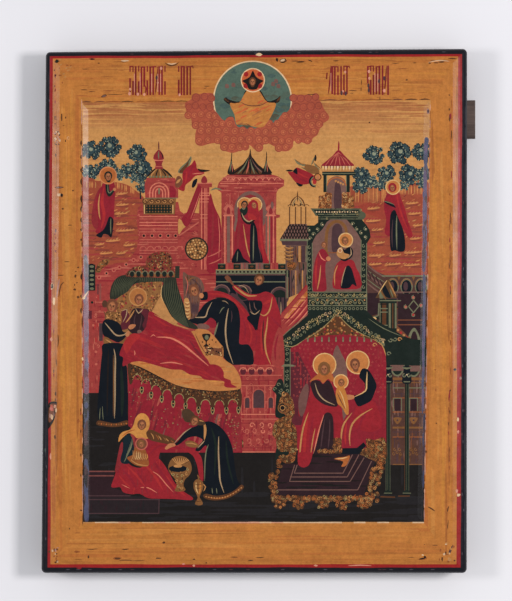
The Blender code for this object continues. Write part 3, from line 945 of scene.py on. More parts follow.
# A dark wall with battlements under it.
area(NAVY, 118, 190, 118, 206, 166.4, 206, 166.4, 190)
area(NAVY, 118, 160, 118, 191, 166.4, 191, 166.4, 176, 150, 160)
area(GREEN_GREY, 118, 203, 118, 205.8, 166.4, 205.8, 166.4, 203)
beads(INK, 0.75, 119.4, 204.4, 165.4, 204.4, 19)
line(GREEN_GREY, 0.7, 118, 197.6, 166, 197.6)
line(PURPLE, 0.5, 118, 202.4, 166, 202.4)
for x0, x1 in ((119.4, 124.6), (130, 134.8), (140, 145), (150.4, 155), (160.4, 166)):
    area(GREEN, x0, 206, x1, 206, x1, 210, x0, 210)
    line(GREEN_GREY, 0.5, x0, 209.8, x1, 209.8)
    disc(BROWN, (x0 + x1) / 2, 208, 1.3, 0.7, count=8)
for x0, x1, tone in ((124.6, 130, WALL), (134.8, 140, PURPLE), (145, 150.4, PURPLE), (155, 160.4, WALL)):
    area(tone, x0, 206, x1, 206, x1, 210.6, x0, 210.6)
    line(WALL_PINK, 0.5, x0 + 1, 206.4, x0 + 1, 210.2)
    line(WALL_DARK, 0.5, x0 + 3, 206.4, x0 + 3, 210.2)
line(GOLD, 0.4, 118, 205.9, 166, 205.9)
for x, y, reach in ((122, 190, 5.6), (137, 190, 5.4), (161.5, 187.6, 6.4)):
    disc(PURPLE_DARK, x, y, reach, count=18)
    disc(GREEN, x, y - 0.6, reach - 1.2, count=16)
    arc(PURPLE, 0.7, x, y, reach, 10, 170)
stroke(ROBE_LIGHT, 0.5, 132, 195.4, 137.6, 194.2, 140.4, 190)
area(PURPLE_DARK, 156, 176, 156, 187, 166.4, 187, 166.4, 176)
for x in (157.4, 159.8, 162.2, 165):
    line(GREEN if x < 160 else NAVY, 0.8, x, 176.6, x, 187)
stroke(ROBE_LIGHT, 0.6, 162.2, 184, 162.4, 179, 162.2, 175)
form(PURPLE_DARK, 129, 190, 133, 188, 139, 181, 140, 176, 137, 176.6, 133, 184, 128, 188)

# Angels in the sky at each side of it.
form(GREEN_GREY, 92.2, 272.4, 94.4, 276, 98.4, 279.4, 101, 283.2, 101.4, 280, 99, 275.6, 95.4, 271.4)
form(BROWN, 93, 272.4, 96, 276, 99.4, 279, 98.6, 276, 95.6, 272)
stroke(BROWN, 0.8, 94, 273.4, 97.6, 277, 100.8, 282)
form(FLESH_DARK, 90.4, 262.6, 91.2, 268.6, 93.4, 269.6, 95.4, 266.4, 94, 262)
form(
    RED, 103.4, 280.4, 101.4, 277.6, 97.4, 274.8, 95.2, 271, 95.4, 265.4, 93.6, 262.2, 92.2, 260.8, 96.4,
    259.4, 97.4, 263.4, 101, 266.4, 104, 269.6, 108, 270.4, 110.4, 271.8, 107, 273.4, 105, 275, 104.8,
    277.6,
)
stroke(CRIMSON, 1.4, 103, 278, 100.4, 272, 97, 266)
stroke(ROSE, 0.6, 102, 271, 105.6, 271.4, 109.6, 271.6)
stroke(SCARLET, 1.2, 98, 273, 98, 269, 96.8, 264)
form(INK, 105.6, 274.6, 107.2, 272.6, 110.6, 272.4, 114.2, 273.4, 110.8, 273.9, 107.6, 274.2)
form(NAVY, 101.6, 262.4, 102.6, 266.4, 105.4, 267.8, 104.8, 264.4, 103, 261.8)
stroke(GOLD, 1.6, 91, 264.6, 92.4, 266, 94, 267.6)
for x0, y0, x1, y1 in (
    (171.6, 281.4, 176.4, 277), (174, 279, 181, 276.4), (186, 284, 183, 277), (184.8, 279, 189, 274),
    (178, 278, 185, 273), (176, 276, 184, 273.6),
):
    stroke(GREEN_GREY, 1.0, x0, y0, (x0 + x1) / 2 - 0.4, (y0 + y1) / 2 - 0.8, x1, y1)
    stroke(GOLD_DARK, 0.7, x0 + 0.4, y0 - 0.6, (x0 + x1) / 2 + 0.4, (y0 + y1) / 2 - 0.2, x1 + 0.6, y1 + 0.6)
form(GOLD_DARK, 179, 277.4, 183, 277, 187, 275.6, 188.6, 272, 186, 271, 182, 271.6, 178.6, 274.4)
form(INK, 185.6, 284.2, 186.6, 282.4, 186, 279.6, 185, 281)
form(INK, 165.4, 273.1, 168, 274, 170.6, 273.4, 168.6, 272.6)
form(
    RED, 172.8, 275.4, 176, 274.4, 180.4, 272.6, 184, 270.6, 186, 268.4, 183, 266, 181.6, 264.4, 177,
    263.8, 172.4, 265.4, 169.4, 269, 167, 272.4, 170, 272.6,
)
stroke(CRIMSON, 1.2, 172, 270.4, 176, 267.2, 181, 265.4)
stroke(SCARLET, 1.1, 173, 272.6, 177, 270, 182, 268)
form(NAVY, 170.4, 272.8, 173, 275, 173.6, 272.2, 173.2, 270.8)
form(NAVY, 172.6, 265.2, 174, 263, 175.8, 262.4, 177.4, 263.6, 175, 264.4)
arc(NAVY, 1.5, 185.4, 266, 3.4, 110, 280)
arc(GREEN_GREY, 0.7, 186, 266, 3.2, 120, 270)
form(SCARLET, 184.6, 267.4, 186.6, 266.6, 186, 264.2, 184, 264.6)
halo(187.4, 269, 2.6, HALO, BROWN)
disc(FLESH, 187.4, 268.6, 1.3, 1.6, count=10)
stroke(GOLD, 1.0, 186, 263.8, 187.6, 262.4, 188.4, 261.6)

# At the right a striped tent roof, and below it a green pavilion with gilded scrolls.
form(CRIMSON, 190.2, 276.4, 193, 279.6, 197.4, 283.4, 201.4, 287.4, 205.4, 283.8, 209, 280, 212, 276.4,
     201, 275.6)
for x in (192.4, 195.6, 199, 202.6, 206.2, 209.6):
    stroke(WALL_PINK, 0.7, 201.4, 285.8, 201.4 + (x - 201.4) * 0.6, 281, x, 276.6)
    stroke(WALL_DARK, 0.8, 201.4, 285, 201.4 + (x - 201.4) * 0.7 + 1, 280.6, x + 1.6, 276.6)
stroke(CRIMSON, 1.2, 201.4, 286, 201.6, 289, 201.7, 293.4)
area(GOLD, 190, 272.6, 190, 276, 212, 276, 212, 272.6)
for i in range(11):
    x = 190 + i * 2
    area(CREAM if i % 2 else GOLD_PALE, x, 276.4, x + 2, 276.4, x + 1, 273.2)
    line(MAROON, 0.5, x, 276.8, x, 275)
area(GREEN, 190.4, 270, 190.4, 272.6, 213, 272.6, 213, 270)
line(GREEN_GREY, 0.5, 190.4, 271.4, 213, 271.4)
area(GREEN, 191.2, 258.6, 191.2, 270, 193.6, 270, 193.6, 258.6)
area(GREEN, 206.6, 258.6, 206.6, 270, 209.2, 270, 209.2, 258.6)
line(GREEN_GREY, 0.5, 193.4, 259, 193.4, 270)
line(GREEN_GREY, 0.5, 206.8, 259, 206.8, 270)
form(PURPLE, 193.8, 248, 193.8, 264, 196, 268, 200.4, 269.6, 204.6, 268, 206.4, 264, 206.4, 248, 200, 247)
arc(OCHRE_RED, 0.8, 200.2, 262, 6.6, 10, 170)
form(PURPLE_DARK, 198.6, 248, 198.8, 262, 200.6, 266.4, 203, 262, 203.4, 248)
beads(GOLD, 0.8, 199.6, 266.2, 204.6, 264, 4)
for x in (190.2, 194.6, 206, 210):
    top = 258 if x in (194.6, 206) else 256
    scrollwork(x - 1.8, 248, x + 1.8, top, 1.2, ground=OCHRE_DARK,
               tones=(BROWN, GOLD, INK, BROWN, GOLD_PALE))
CORNICE = between(GREEN, GREEN_GREY, 0.5)
area(CORNICE, 182.4, 247.6, 216.6, 247.6, 217, 246.6, 186, 242.4, 184.6, 244.6)
area(GREEN, 184.6, 246.6, 217.4, 246.6, 217.8, 242.2, 187.6, 242.2)
beads(CREAM, 0.55, 186.6, 245.2, 216.4, 245.2, 18)
line(GREEN_GREY, 0.6, 187.4, 243.6, 217.6, 243.6)
area(CORNICE, 187.6, 240, 187.6, 242.4, 218, 242.4, 218, 240)
line(GREEN, 0.7, 187.6, 241.2, 218, 241.2)
form(CORNICE, 214.6, 246, 219.6, 244.4, 219.4, 241, 215.4, 239.4)
for i in range(46):
    curl(hand.choice((GREEN_GREY, GILT, GREEN, INK)), 0.34, 188 + i * 0.64, hand.uniform(240.4, 246.8),
         0.8, hand.uniform(0, 360))
area(GREEN, 187.6, 240, 217.4, 240, 220.4, 236.4, 222.6, 233, 223.4, 228, 221, 224, 220.8, 173, 180, 173,
     180, 226, 178.6, 231, 180, 236, 185, 236, 187.6, 238)
area(PURPLE, 183.6, 191, 183.6, 224, 186, 229, 190.6, 233.4, 193.6, 238.4, 196, 240, 207, 240, 210.6, 236,
     214, 231.4, 217, 226, 217, 191)
form(GOLD_DARK, 192.4, 217, 192.6, 232, 195.4, 237.6, 200.4, 239.8, 205.4, 237.6, 207.8, 232, 208, 217,
     200, 216)
form(PURPLE, 194.4, 217, 194.6, 231, 196.8, 235.8, 200.4, 237.8, 204, 235.8, 206, 231, 206, 217, 200, 216)
form(PURPLE_DARK, 197, 219, 197, 232, 198.4, 236, 200.6, 237.2, 203, 236, 204.2, 232, 204.2, 219, 200.6,
     218)
line(OCHRE_DARK, 0.6, 194.4, 217.4, 203, 217.4)
for y in range(193, 224, 4):
    curl(GREEN_GREY, 0.6, 181.8, y, 1.3, hand.choice((0, 90, 180)))
    curl(GREEN_GREY, 0.6, 218.7, y + 1, 1.3, hand.choice((0, 90, 180)))
for x, y in ((182, 227), (184.4, 230), (181.6, 233), (187, 233.4), (190.6, 236.6), (211, 237),
             (214, 233.6), (217, 231), (219.6, 228), (220, 233.6)):
    curl(GREEN_GREY, 0.6, x, y, 1.5, hand.choice((0, 90, 180, 270)))
    disc(CREAM, x, y, 0.4, count=6)
for path in (
    (180.2, 192, 180.2, 226), (183.6, 192, 183.6, 224), (216.9, 192, 216.9, 226),
    (220.6, 176, 220.6, 224),
):
    line(GREEN_GREY, 0.5, *path)

# Inside it: a girl in red, and an old man seated with a child in his arms.
form(CRIMSON, 184.2, 191.4, 184.4, 205, 186, 213.6, 189, 219.4, 192, 219.6, 194.4, 216, 196, 212, 193,
     211, 192.6, 204, 193.2, 197, 192.6, 191.4)
stroke(SCARLET, 1.4, 187, 214, 186, 204, 186.4, 194)
stroke(ROSE, 0.8, 188, 218, 190, 213.6, 193, 211.8)
stroke(GOLD, 0.9, 189.4, 209, 188.6, 200, 187, 192)
head(191.6, 222.6, 2.5, -8, hair=FLESH_DARK)
disc(FLESH, 194.6, 213.4, 1.7, 1.6, count=10)
form(
    RED, 197.8, 193.6, 198.2, 203, 199.6, 208.6, 202.6, 212, 207, 212.8, 211.6, 212, 213.6, 207, 216.2,
    202, 216.6, 193.6, 206, 192.6,
)
form(NAVY, 203, 193.6, 204.2, 200, 205.6, 205.6, 207.8, 208.8, 210.4, 206.6, 212.4, 200, 213.8, 194.6,
     211, 196, 208.6, 193.4)
stroke(ROBE_LIGHT, 0.6, 203.4, 194.6, 204.4, 201, 206.6, 208)
stroke(GOLD, 0.9, 199, 195, 198.8, 203, 201, 209)
form(NAVY, 203.8, 221.2, 205.6, 219.4, 208.6, 221.4, 211.2, 219.4, 211.2, 215.6, 208.6, 212.8, 205.4,
     211.6, 202.4, 213.4, 203.6, 216.6)
stroke(ROBE_LIGHT, 0.8, 209.6, 220.6, 210.2, 216.4, 207.6, 213.6)
form(GOLD, 200.2, 216.4, 201.4, 220.4, 204, 221, 205.2, 217.4, 209, 216, 206.4, 213.2, 202.8, 213.6)
disc(CREAM, 202.6, 219, 1.6, count=10)
disc(FLESH, 202.6, 218.8, 1.1, count=10)
halo(206.4, 226, 5.1, HALO, GOLD_PALE)
head(206, 225.4, 3.1, 10, hair=GOLD_DARK, beard=GOLD)

# The open lantern at the left of the green pavilion, on its lattice roof and striped walls.
stroke(BROWN, 0.9, 173.6, 252, 173.6, 255, 173.6, 259.4)
for lean in (-1, 1):
    stroke(BROWN, 0.9, 173.6 + lean * 0.4, 256, 173.6 + lean * 3.6, 253, 173.6 + lean * 5.2, 248.6)
    stroke(GREEN_GREY, 0.6, 173.6 + lean * 0.2, 255, 173.6 + lean * 2.4, 252, 173.6 + lean * 3.6, 249)
    form(INK, 173.6 + lean * 2.6, 249.4, 173.6 + lean * 1.9, 251.6, 173.6 + lean * 1.4, 249.6)
for x in (168.2, 172.2, 176, 179.2):
    line(BROWN, 0.75, x, 237, x, 248.6)
    arc(BROWN, 0.5, x + 0.6, 248.4, 1.8, 20, 160)
area(PURPLE, 168, 237, 180, 237, 181.4, 226.6, 161.6, 226.6)
roof = len(coats) - 1
for i in range(-2, 17):
    line(INK, 0.75, 160 + i * 2, 226, 165 + i * 2, 238, inside=roof)
    line(INK, 0.75, 165 + i * 2, 226, 160 + i * 2, 238, inside=roof)
area(GREEN_GREY, 161.6, 225.4, 181, 225.4, 181, 226.8, 161.6, 226.8)
area(PURPLE_DARK, 163.4, 222.6, 180, 222.6, 180, 225.4, 162.4, 225.4)
area(between(PURPLE, GREEN, 0.3), 165.4, 186, 165.4, 222.6, 180, 222.6, 180, 192)
base = len(coats) - 1
streaks((BROWN, PURPLE_DARK, GREEN, FLESH_DARK, PURPLE), 70, 166, 187, 180, 222, 9, 1.1, True, inside=base)
for x, tone, width in ((167, PURPLE_DARK, 0.8), (168.8, GOLD_DARK, 0.7), (171, PURPLE_DARK, 0.8),
                       (175, GOLD, 1.6), (177.6, PURPLE_DARK, 2.4), (179.4, GREEN_GREY, 0.6)):
    line(tone, width, x, 211, x, 222, inside=base)
for y in (221, 218.4, 216, 213.6):
    stroke(GOLD_DARK, 1.4, 164.4, y, 167.6, y - 1.2, 171, y - 0.4)
    stroke(GOLD, 0.7, 164.6, y + 0.4, 168, y - 0.6, 171, y + 0.2)
form(GOLD_DARK, 166.4, 210.6, 167.4, 206, 171.6, 206, 173, 210, 170, 211.4)
scrollwork(167, 206, 172, 210.6, 1.2)
for x, tone in ((166.6, GREEN_GREY), (168, NAVY), (169.4, PURPLE_DARK), (172.4, GOLD), (177, GOLD)):
    line(tone, 0.8, x, 186, x, 205.4, inside=base)
stroke(GOLD, 0.9, 176.8, 205, 177, 200, 177, 195)

# The stair that climbs to the pavilion.
area(WALL, 161, 168, 162.4, 176, 179.4, 195.6, 180.4, 195, 180.4, 173, 166, 160.6, 160, 160.6, 160, 166)
stair = len(coats) - 1
line(RED, 1.2, 162.4, 176.2, 179.6, 195.4, inside=stair)
for i in range(6):
    x, y = 164.4 + i * 2.6, 173 + i * 3.0
    form(OCHRE_RED if i % 2 else HILL_LIGHT, x, y, x + 3.4, y - 0.4, x + 4.6, y + 4, x + 2.6, y + 3.6,
         inside=stair)
for i in range(5):
    x = 163 + i * 2.2
    stroke(ROSE, 0.8, x, 171 - i * 1.8, x + 7, 178 - i * 1.8, x + 15, 188 - i * 1.8, inside=stair)
    stroke(CRIMSON, 1.0, x + 1, 169 - i * 1.8, x + 8, 176.4 - i * 1.8, x + 15, 185 - i * 1.8, inside=stair)
for y in (172.4, 180, 186):
    line(CRIMSON, 0.6, 162 + (y - 172.4) * 0.9, y, 172 + (y - 172.4) * 0.7, y, inside=stair)

# The carved frieze under the pavilion: small arches and roundels in dull gold on green.
line(GREEN_GREY, 0.6, 180, 190.6, 221, 190.6)
for i in range(20):
    curl(hand.choice((GILT, GREEN_GREY)), 0.5, 182 + i * 2.0, 188.4 + hand.uniform(-0.3, 0.3), 1.15,
         hand.choice((0, 90, 180, 270)))
line(GREEN_GREY, 0.5, 180.4, 186.7, 220.4, 186.7)
for i in range(6):
    x = 184 + i * 6.4
    arc(GREEN_GREY, 0.6, x, 182.6, 2.6, 0, 180, 2.9)
    curl(GILT, 0.5, x, 183.4, 1.1, 90 * (i % 4))
    disc(GOLD, x + 3.2, 185.2, 0.6, count=6)
    curl(GREEN_GREY, 0.5, x + 3.2, 183.2, 0.9, 180)
line(GREEN_GREY, 0.6, 180.4, 181.4, 220.4, 181.4)
for i in range(15):
    hoop(GREEN_GREY, 0.45, 182 + i * 2.7, 179.4, 0.8)
for i in range(90):
    x, y = hand.uniform(181, 220), hand.choice((hand.uniform(175.6, 177), hand.uniform(181.8, 186.2),
                                                hand.uniform(187.4, 190)))
    curl(hand.choice((GILT, GREEN_GREY, ROBE_LIGHT, INK)), 0.3, x, y, hand.uniform(0.5, 0.8),
         hand.uniform(0, 360))
line(GREEN_GREY, 0.6, 180.4, 177.6, 220.4, 177.6)

# The arched pavilion at the lower right: a green ogee roof with gilded scrolls over a crimson room.
area(
    GREEN, 161.4, 156, 162.4, 159.4, 168, 164.4, 176, 171, 181, 175.4, 181, 178, 220.6, 178, 226, 172.6,
    231, 169, 238, 165.6, 245, 161, 252, 158.6, 258.6, 158, 258.6, 141, 234, 141, 234, 116, 233, 116, 233,
    152, 168.8, 152, 168.8, 117, 164.2, 117, 164.2, 152.6,
)
area(
    CRIMSON, 168.8, 84, 168.8, 152.4, 174, 155.4, 182, 160.6, 189, 165.4, 196, 170.6, 200.6, 175.4, 205,
    170.6, 211, 165.8, 217, 162.4, 223, 159.4, 228, 156, 231.6, 153, 233.6, 148, 234, 142, 234, 84,
)
room = len(coats) - 1
area(MAROON, 168.8, 100, 168.8, 150, 174, 150, 184, 130, 176, 100, inside=room)
streaks((CRIMSON, WALL_DARK, RED), 90, 170, 90, 233, 154, 12, 1.2, True, inside=room)
for i in range(24):
    for j in range(13):
        x, y = 171 + i * 2.7 + (j % 2) * 1.3, 120 + j * 2.9
        if hand.random() < 0.8:
            tone = between(CRIMSON, WALL_PINK, hand.uniform(0.2, 0.6))
            curl(tone, 0.32, x + hand.uniform(-0.5, 0.5), y + hand.uniform(-0.5, 0.5), 0.8,
                 hand.uniform(0, 360), inside=room)
form(BROWN, 178, 158.4, 188, 165, 196, 170.8, 200.6, 176, 205, 170.8, 213, 165, 224, 158.6, 214, 160.6,
     206, 161.6, 200, 161.4, 190, 161)
vault = len(coats) - 1
for i in range(150):
    x, y = hand.uniform(180, 222), hand.uniform(160, 175)
    disc(hand.choice((GOLD, GOLD_DARK, GREEN, WALL_DARK, OCHRE_RED)), x, y, 0.7, count=6, inside=vault)
for i in range(10):
    x = 180.6 + i * 4.8
    form(GREEN_GREY, x - 0.6, 157.4, x - 0.3, 160, x + 0.3, 160, x + 0.6, 157.4, x, 156.6, inside=room)
    disc(ROBE_LIGHT, x, 157.4, 0.35, count=6)
eaves = rounded(pairs((
    164.4, 157.4, 173, 164, 182, 170.8, 191, 175.4, 200.6, 178.6, 210, 173.8, 219, 167.2, 228.4, 161.2,
    231.6, 158.6,
)), False, 4)
for i, (x, y) in enumerate(eaves):
    turn = 90 * (i % 4) + hand.uniform(-20, 20)
    curl(hand.choice((GILT, ROBE_LIGHT, GREEN_GREY)), 0.6, x + hand.uniform(-0.4, 0.4), y - 0.9, 1.25, turn)
    curl(hand.choice((GILT, GREEN_GREY, GREEN_GREY)), 0.55, x + 0.6, y - 3.9 + hand.uniform(-0.3, 0.3),
         1.2, turn + 120)
    if i % 3 == 1:
        disc(GOLD_PALE, x + 0.8, y - 2.4, 0.55, count=6)
stroke(GILT, 0.6, 162.6, 155.4, 170, 153.4, 178, 158)
stroke(GILT, 0.6, 178, 158, 190, 165.6, 200.4, 175.8)
stroke(GILT, 0.6, 200.8, 175.8, 210, 166.4, 224, 159)
stroke(GOLD, 0.8, 224, 159, 231, 154.6, 233.8, 147)
stroke(GREEN_GREY, 0.6, 162, 159.4, 171, 167.4, 181, 176)
stroke(GREEN_GREY, 0.6, 222, 172.6, 232, 166, 246, 160)
for x, y in ((235.6, 148.6), (237, 158), (240, 158.6), (229, 158), (243, 158.4), (226, 154.6)):
    curl(hand.choice((GOLD, GREEN_GREY)), 0.7, x, y, 1.6, hand.choice((0, 180)))

# Its drapes, the slim green column at its left, and the gilded scrolls of the bench.
form(between(PURPLE, MAROON, 0.25), 174.4, 118, 176.8, 124.4, 179.8, 128.4, 181.2, 125, 180, 115, 178,
     108, 176, 106, 174.4, 110)
form(PURPLE, 200.4, 154.6, 203.4, 149, 206.6, 142, 207.4, 131, 204, 127, 198, 133, 197.4, 146)
form(PURPLE, 200, 114, 206, 112, 207, 104, 203, 101.4, 200.6, 106)
line(GREEN_GREY, 0.5, 164.4, 118, 164.4, 152)
line(GREEN_GREY, 0.5, 168.6, 118, 168.6, 152)
for y in (151.4, 148.4, 144.8, 137, 134, 131.2, 127, 123.6):
    curl(GREEN_GREY, 0.6, 166.5, y, 1.3, 90 * hand.choice((0, 1, 2, 3)))
stroke(GREEN_GREY, 1.6, 160.8, 140.4, 166.4, 140.8, 172, 140.4)
form(GREEN, 156.4, 124.4, 158.6, 127.4, 160.6, 131.4, 163.6, 130.4, 164.6, 122, 161.6, 117, 158.6, 121.6)
for x, y in ((158, 124.6), (160.6, 127.6), (162.4, 124), (161, 121)):
    curl(GREEN_GREY, 0.6, x, y, 1.4, hand.choice((0, 90, 180)))
form(GREEN, 159.6, 122, 158.6, 113, 159, 105.4, 166, 105.4, 165, 107.4, 161, 111, 161.6, 120)
form(between(INK, BROWN, 0.75), 160.4, 112, 162, 118.6, 166, 122.4, 170.4, 117, 171.6, 108, 169.4, 103,
     172.6, 98, 173.4, 88, 171.6, 76, 166, 74, 160, 79, 159, 90, 156.4, 94, 158.6, 103, 165.6, 106.4, 163,
     109)
bench_left = len(coats) - 1
scrollwork(156, 74.6, 173, 122.6, 1.5, bench_left)
form(GREEN, 159.4, 84.4, 162, 82, 167.4, 82, 167, 79.6, 161, 79.4, 159, 75.4, 158.6, 80)
disc(INK, 162.6, 112.4, 3.0, 2.6, count=12)
hoop(GOLD_DARK, 0.7, 164, 111.8, 3.6)
hoop(GOLD, 0.5, 163.4, 111.8, 1.7)
curl(GOLD, 0.8, 164.6, 121, 1.8, 90)

# The seated parents with their child between them.
halo(192, 141.2, 8.1, HALO, GOLD_PALE)
arc(OCHRE_RED, 0.8, 192, 141.2, 6.6, 0, 359.9)
halo(214.6, 142.8, 8.1, HALO, GOLD_PALE)
form(
    RED, 183.6, 128, 181.6, 118, 179, 108.4, 176.4, 100, 174.4, 90, 173.8, 80, 174, 73.4, 177.4, 71.4,
    181, 73, 183.6, 79, 186, 90, 190, 104, 194.6, 108.6, 198.6, 104, 199.4, 92, 203.6, 90, 205.4, 98,
    204.4, 106, 203, 113, 195, 118,
)
form(PLUM, 184.4, 80.8, 186, 89, 188.6, 98.6, 191.4, 106.6, 194.4, 108.8, 197.6, 105.6, 198.2, 93, 197.4,
     80.6)
stroke(PURPLE_DARK, 1.0, 192, 104, 190.6, 94, 189.4, 84)
stroke(PURPLE_DARK, 0.9, 195.6, 104, 195.4, 94, 194.4, 84)
stroke(ROSE, 0.9, 191.6, 107.4, 188.6, 98, 186.2, 88, 184.4, 80.6)
stroke(GOLD, 1.2, 181, 108.6, 177.4, 98, 175.6, 86, 174.8, 75)
stroke(SCARLET, 2.2, 180.4, 104, 178.6, 92, 178.4, 78)
stroke(CRIMSON, 1.8, 184.4, 106, 182.6, 94, 181.6, 80)
stroke(GOLD, 0.8, 185.6, 98, 184, 90, 182.6, 80)
form(
    PLUM, 182.6, 129, 185.4, 130.8, 189, 130, 191, 128, 194.2, 130.8, 197.2, 127, 199.2, 120.6, 201, 116,
    200, 112.6, 192, 114, 186, 118.4, 183.4, 123.4,
)
stroke(ROBE_LIGHT, 0.9, 185.4, 129, 187.6, 122, 192, 117, 199, 113.8)
form(OCHRE_RED, 181.6, 129.4, 184.6, 132.6, 187.6, 135, 188.6, 137.4, 195.6, 137.4, 197.6, 133.4, 200,
     130, 196.6, 129.8, 194.4, 131.6, 191, 128.6, 188.4, 131.2, 185, 130.8)
head(191.8, 138.2, 4.3, 6, hair=GOLD_DARK, veil=GOLD_DARK)
form(
    CRIMSON, 209, 119, 213, 114.6, 220, 114, 224.6, 119.6, 228, 114, 231.4, 105, 232, 97.6, 226.6, 94.6,
    221, 89.6, 214.4, 85.4, 208, 84, 203.8, 84.6, 203.2, 92, 203.6, 100, 206.6, 106.4, 209.4, 112,
)
form(RED, 213.4, 112.4, 220, 113.6, 225, 117, 229.6, 108, 230.6, 99, 224, 95.4, 216, 97, 211.6, 101)
stroke(CRIMSON, 1.6, 222, 111, 217, 103, 214, 92)
stroke(GOLD, 1.2, 224.6, 111.4, 217, 107, 211, 101, 209, 93, 209.4, 86)
stroke(GOLD, 1.2, 210.8, 108.6, 205.4, 101.4, 203.6, 95, 203.4, 89)
stroke(SCARLET, 1.4, 207, 102, 206, 94, 206.4, 87)
form(
    NAVY, 215.6, 133.4, 217.6, 138.4, 221.6, 137.8, 225, 133, 227.4, 127.4, 226.2, 122.6, 223.8, 117, 220,
    114.6, 215, 112.8, 212.4, 117, 211.6, 119.8, 215, 121, 219, 122.6, 219.4, 128, 217.6, 130.6,
)
form(CRIMSON, 213, 121.4, 212, 127, 214.4, 132, 217, 130, 219, 127, 218, 122.8)
stroke(GOLD_PALE, 1.0, 221, 136.4, 220.6, 129, 219.8, 123.4, 212.4, 119.4)
form(FLESH, 201.4, 119.4, 205, 120.8, 211.6, 120.4, 211.8, 118, 206, 117, 202, 117.2)
head(212.8, 141.2, 4.3, 8, hair=FLESH_DARK, beard=FLESH_DARK)
halo(203.2, 129.6, 5.2, HALO, GOLD_PALE)
form(OCHRE, 199.6, 121.6, 201, 126.6, 204, 127.4, 206.4, 123, 208, 116, 208.4, 108, 206.6, 107.4, 204,
     112, 201, 114.6, 200, 118)
stroke(GOLD_PALE, 0.7, 202, 124, 204.4, 119, 206.6, 111)
stroke(FLESH_DARK, 0.7, 200.6, 122, 203, 116.6, 206, 111)
head(203.4, 128.8, 2.9, -6, hair=GOLD_DARK)

# The bench between them, the stepped plum footstool, and the gilded fringe round it.
scrollwork(187.4, 80.8, 203.4, 83.6, 1.3)
scrollwork(198, 84, 203.4, 91, 1.3)
form(between(INK, BROWN, 0.75), 216.4, 76.4, 217, 82, 220.4, 85.4, 220.4, 90.8, 226, 90, 233, 91, 233.4, 76)
scrollwork(216.6, 76, 233.4, 91, 1.5, len(coats) - 1)
area(NAVY, 204, 79.6, 204, 84.4, 214, 84.6, 218.6, 88.4, 220.4, 86, 214, 79.6)
area(PLUM, 159.4, 52.4, 160, 60, 163.6, 73.6, 172.6, 74, 180, 80.4, 215.6, 80.4, 226.4, 75.4, 218.6, 52.4)
stool = len(coats) - 1
streaks((PLUM, INK, PLUM, DUSK), 40, 160, 53, 224, 80, 22, 1.4, inside=stool)
form(RED, 174, 74.6, 174.2, 73, 177.4, 71.2, 181.2, 72.8, 183.2, 77.6, 183, 81.4, 174.4, 81.4)
for y, x0, x1 in ((67.4, 171.4, 204.6), (64.8, 168.6, 207.4), (61.8, 168, 209.4), (56, 159.8, 214.6)):
    line(PURPLE, 0.6, x0, y, x1, y)
for x0, y0, x1, y1 in ((204.6, 67.4, 211, 80), (207.4, 64.8, 215.4, 80), (209.4, 61.8, 219, 78),
                       (214.6, 56, 224, 75.6), (168.2, 61.8, 171.6, 73), (171.4, 67.4, 173.4, 73)):
    line(PURPLE, 0.6, x0, y0, x1, y1)
form(OCHRE_RED, 198.6, 77, 202, 78.2, 205.4, 78.4, 209.2, 79.4, 208.4, 76, 206.4, 72.4, 203.4, 72, 204.6,
     75.4)
stroke(GOLD_PALE, 0.7, 199.6, 77.2, 204, 77.4, 208, 78.4)
fringe = []
for i in range(28):
    x = 156.6 + i * 2.45
    drop = 2.2 + 1.5 * math.sin(i * 1.05) + hand.uniform(-0.4, 0.4)
    fringe += [(x, 50.6), (x + 0.6, 50.6 - drop * 0.9)]
    if drop > 2.4:
        fringe.append((x + 0.2, 49.4 - drop * 1.4))
fringe += pairs((
    155.6, 66.4, 155, 63.4, 156.6, 61, 155.4, 58, 156.8, 55.4, 157, 52.4, 158.4, 60.4, 159, 64.4, 160.2,
    68.4, 161.6, 72, 158.6, 57.4, 158.8, 54, 157.4, 65, 160.6, 74, 223.6, 60.6, 224, 67, 228.6, 60, 226.6,
    70, 231.6, 76, 225, 52.4, 223, 56.6, 229.4, 65.4, 226.4, 64.2, 228.6, 74.6, 231.4, 70.6, 224.6, 69.6,
    161, 75.8, 163.6, 78.6, 165.6, 76, 169.4, 76.4, 231, 73.4, 229, 71, 230.4, 68, 227, 66.4, 228.4, 63,
    225, 61.8, 223.6, 64.4, 222.6, 58.4, 226, 57.6, 223.4, 55, 227.4, 53.6, 224.4, 50.6, 228, 49, 221, 53,
    225.8, 70.4, 220.4, 50, 218, 48.6,
))
gilding(fringe, 1.3)

# In the middle a woman in red runs up with raised arms, and in front of her another bends over the bed.
form(
    RED, 129.4, 193.6, 133.6, 189.6, 139, 186.4, 141, 184.6, 146, 185, 148.6, 178, 147.4, 172, 146.4, 164,
    147, 157, 145, 150, 144, 141.6, 154, 141.2, 163, 141.6, 164.2, 150, 163.4, 160, 162.4, 170, 161.8,
    176, 159.6, 183, 157.4, 188.4, 152, 191, 147, 189.4, 141, 189.4, 136, 192, 131, 195.6,
)
stroke(GOLD, 1.3, 130, 195, 135, 191, 140, 188.2, 146, 188.2)
form(WALL, 156.4, 141.4, 156.4, 152, 159, 163, 162.4, 168, 164, 158, 164.4, 141.4)
stroke(CRIMSON, 1.4, 158.6, 144, 158.4, 153, 160.6, 162)
stroke(CRIMSON, 1.6, 155.4, 174, 159, 170, 163, 166)
stroke(SCARLET, 2.0, 150, 182, 154, 184.4, 157.6, 185.4)
stroke(GOLD, 1.0, 156.4, 187.4, 155.4, 181, 153.6, 176.6, 150.6, 174.6, 148, 176)
stroke(GOLD, 1.2, 153.4, 174, 152.6, 166, 151.4, 158, 152.4, 149, 155.4, 141.4)
stroke(SCARLET, 1.2, 149.4, 170, 148.8, 160, 149.6, 148)
stroke(GREEN, 0.7, 150.6, 172, 150, 162, 150.6, 150)
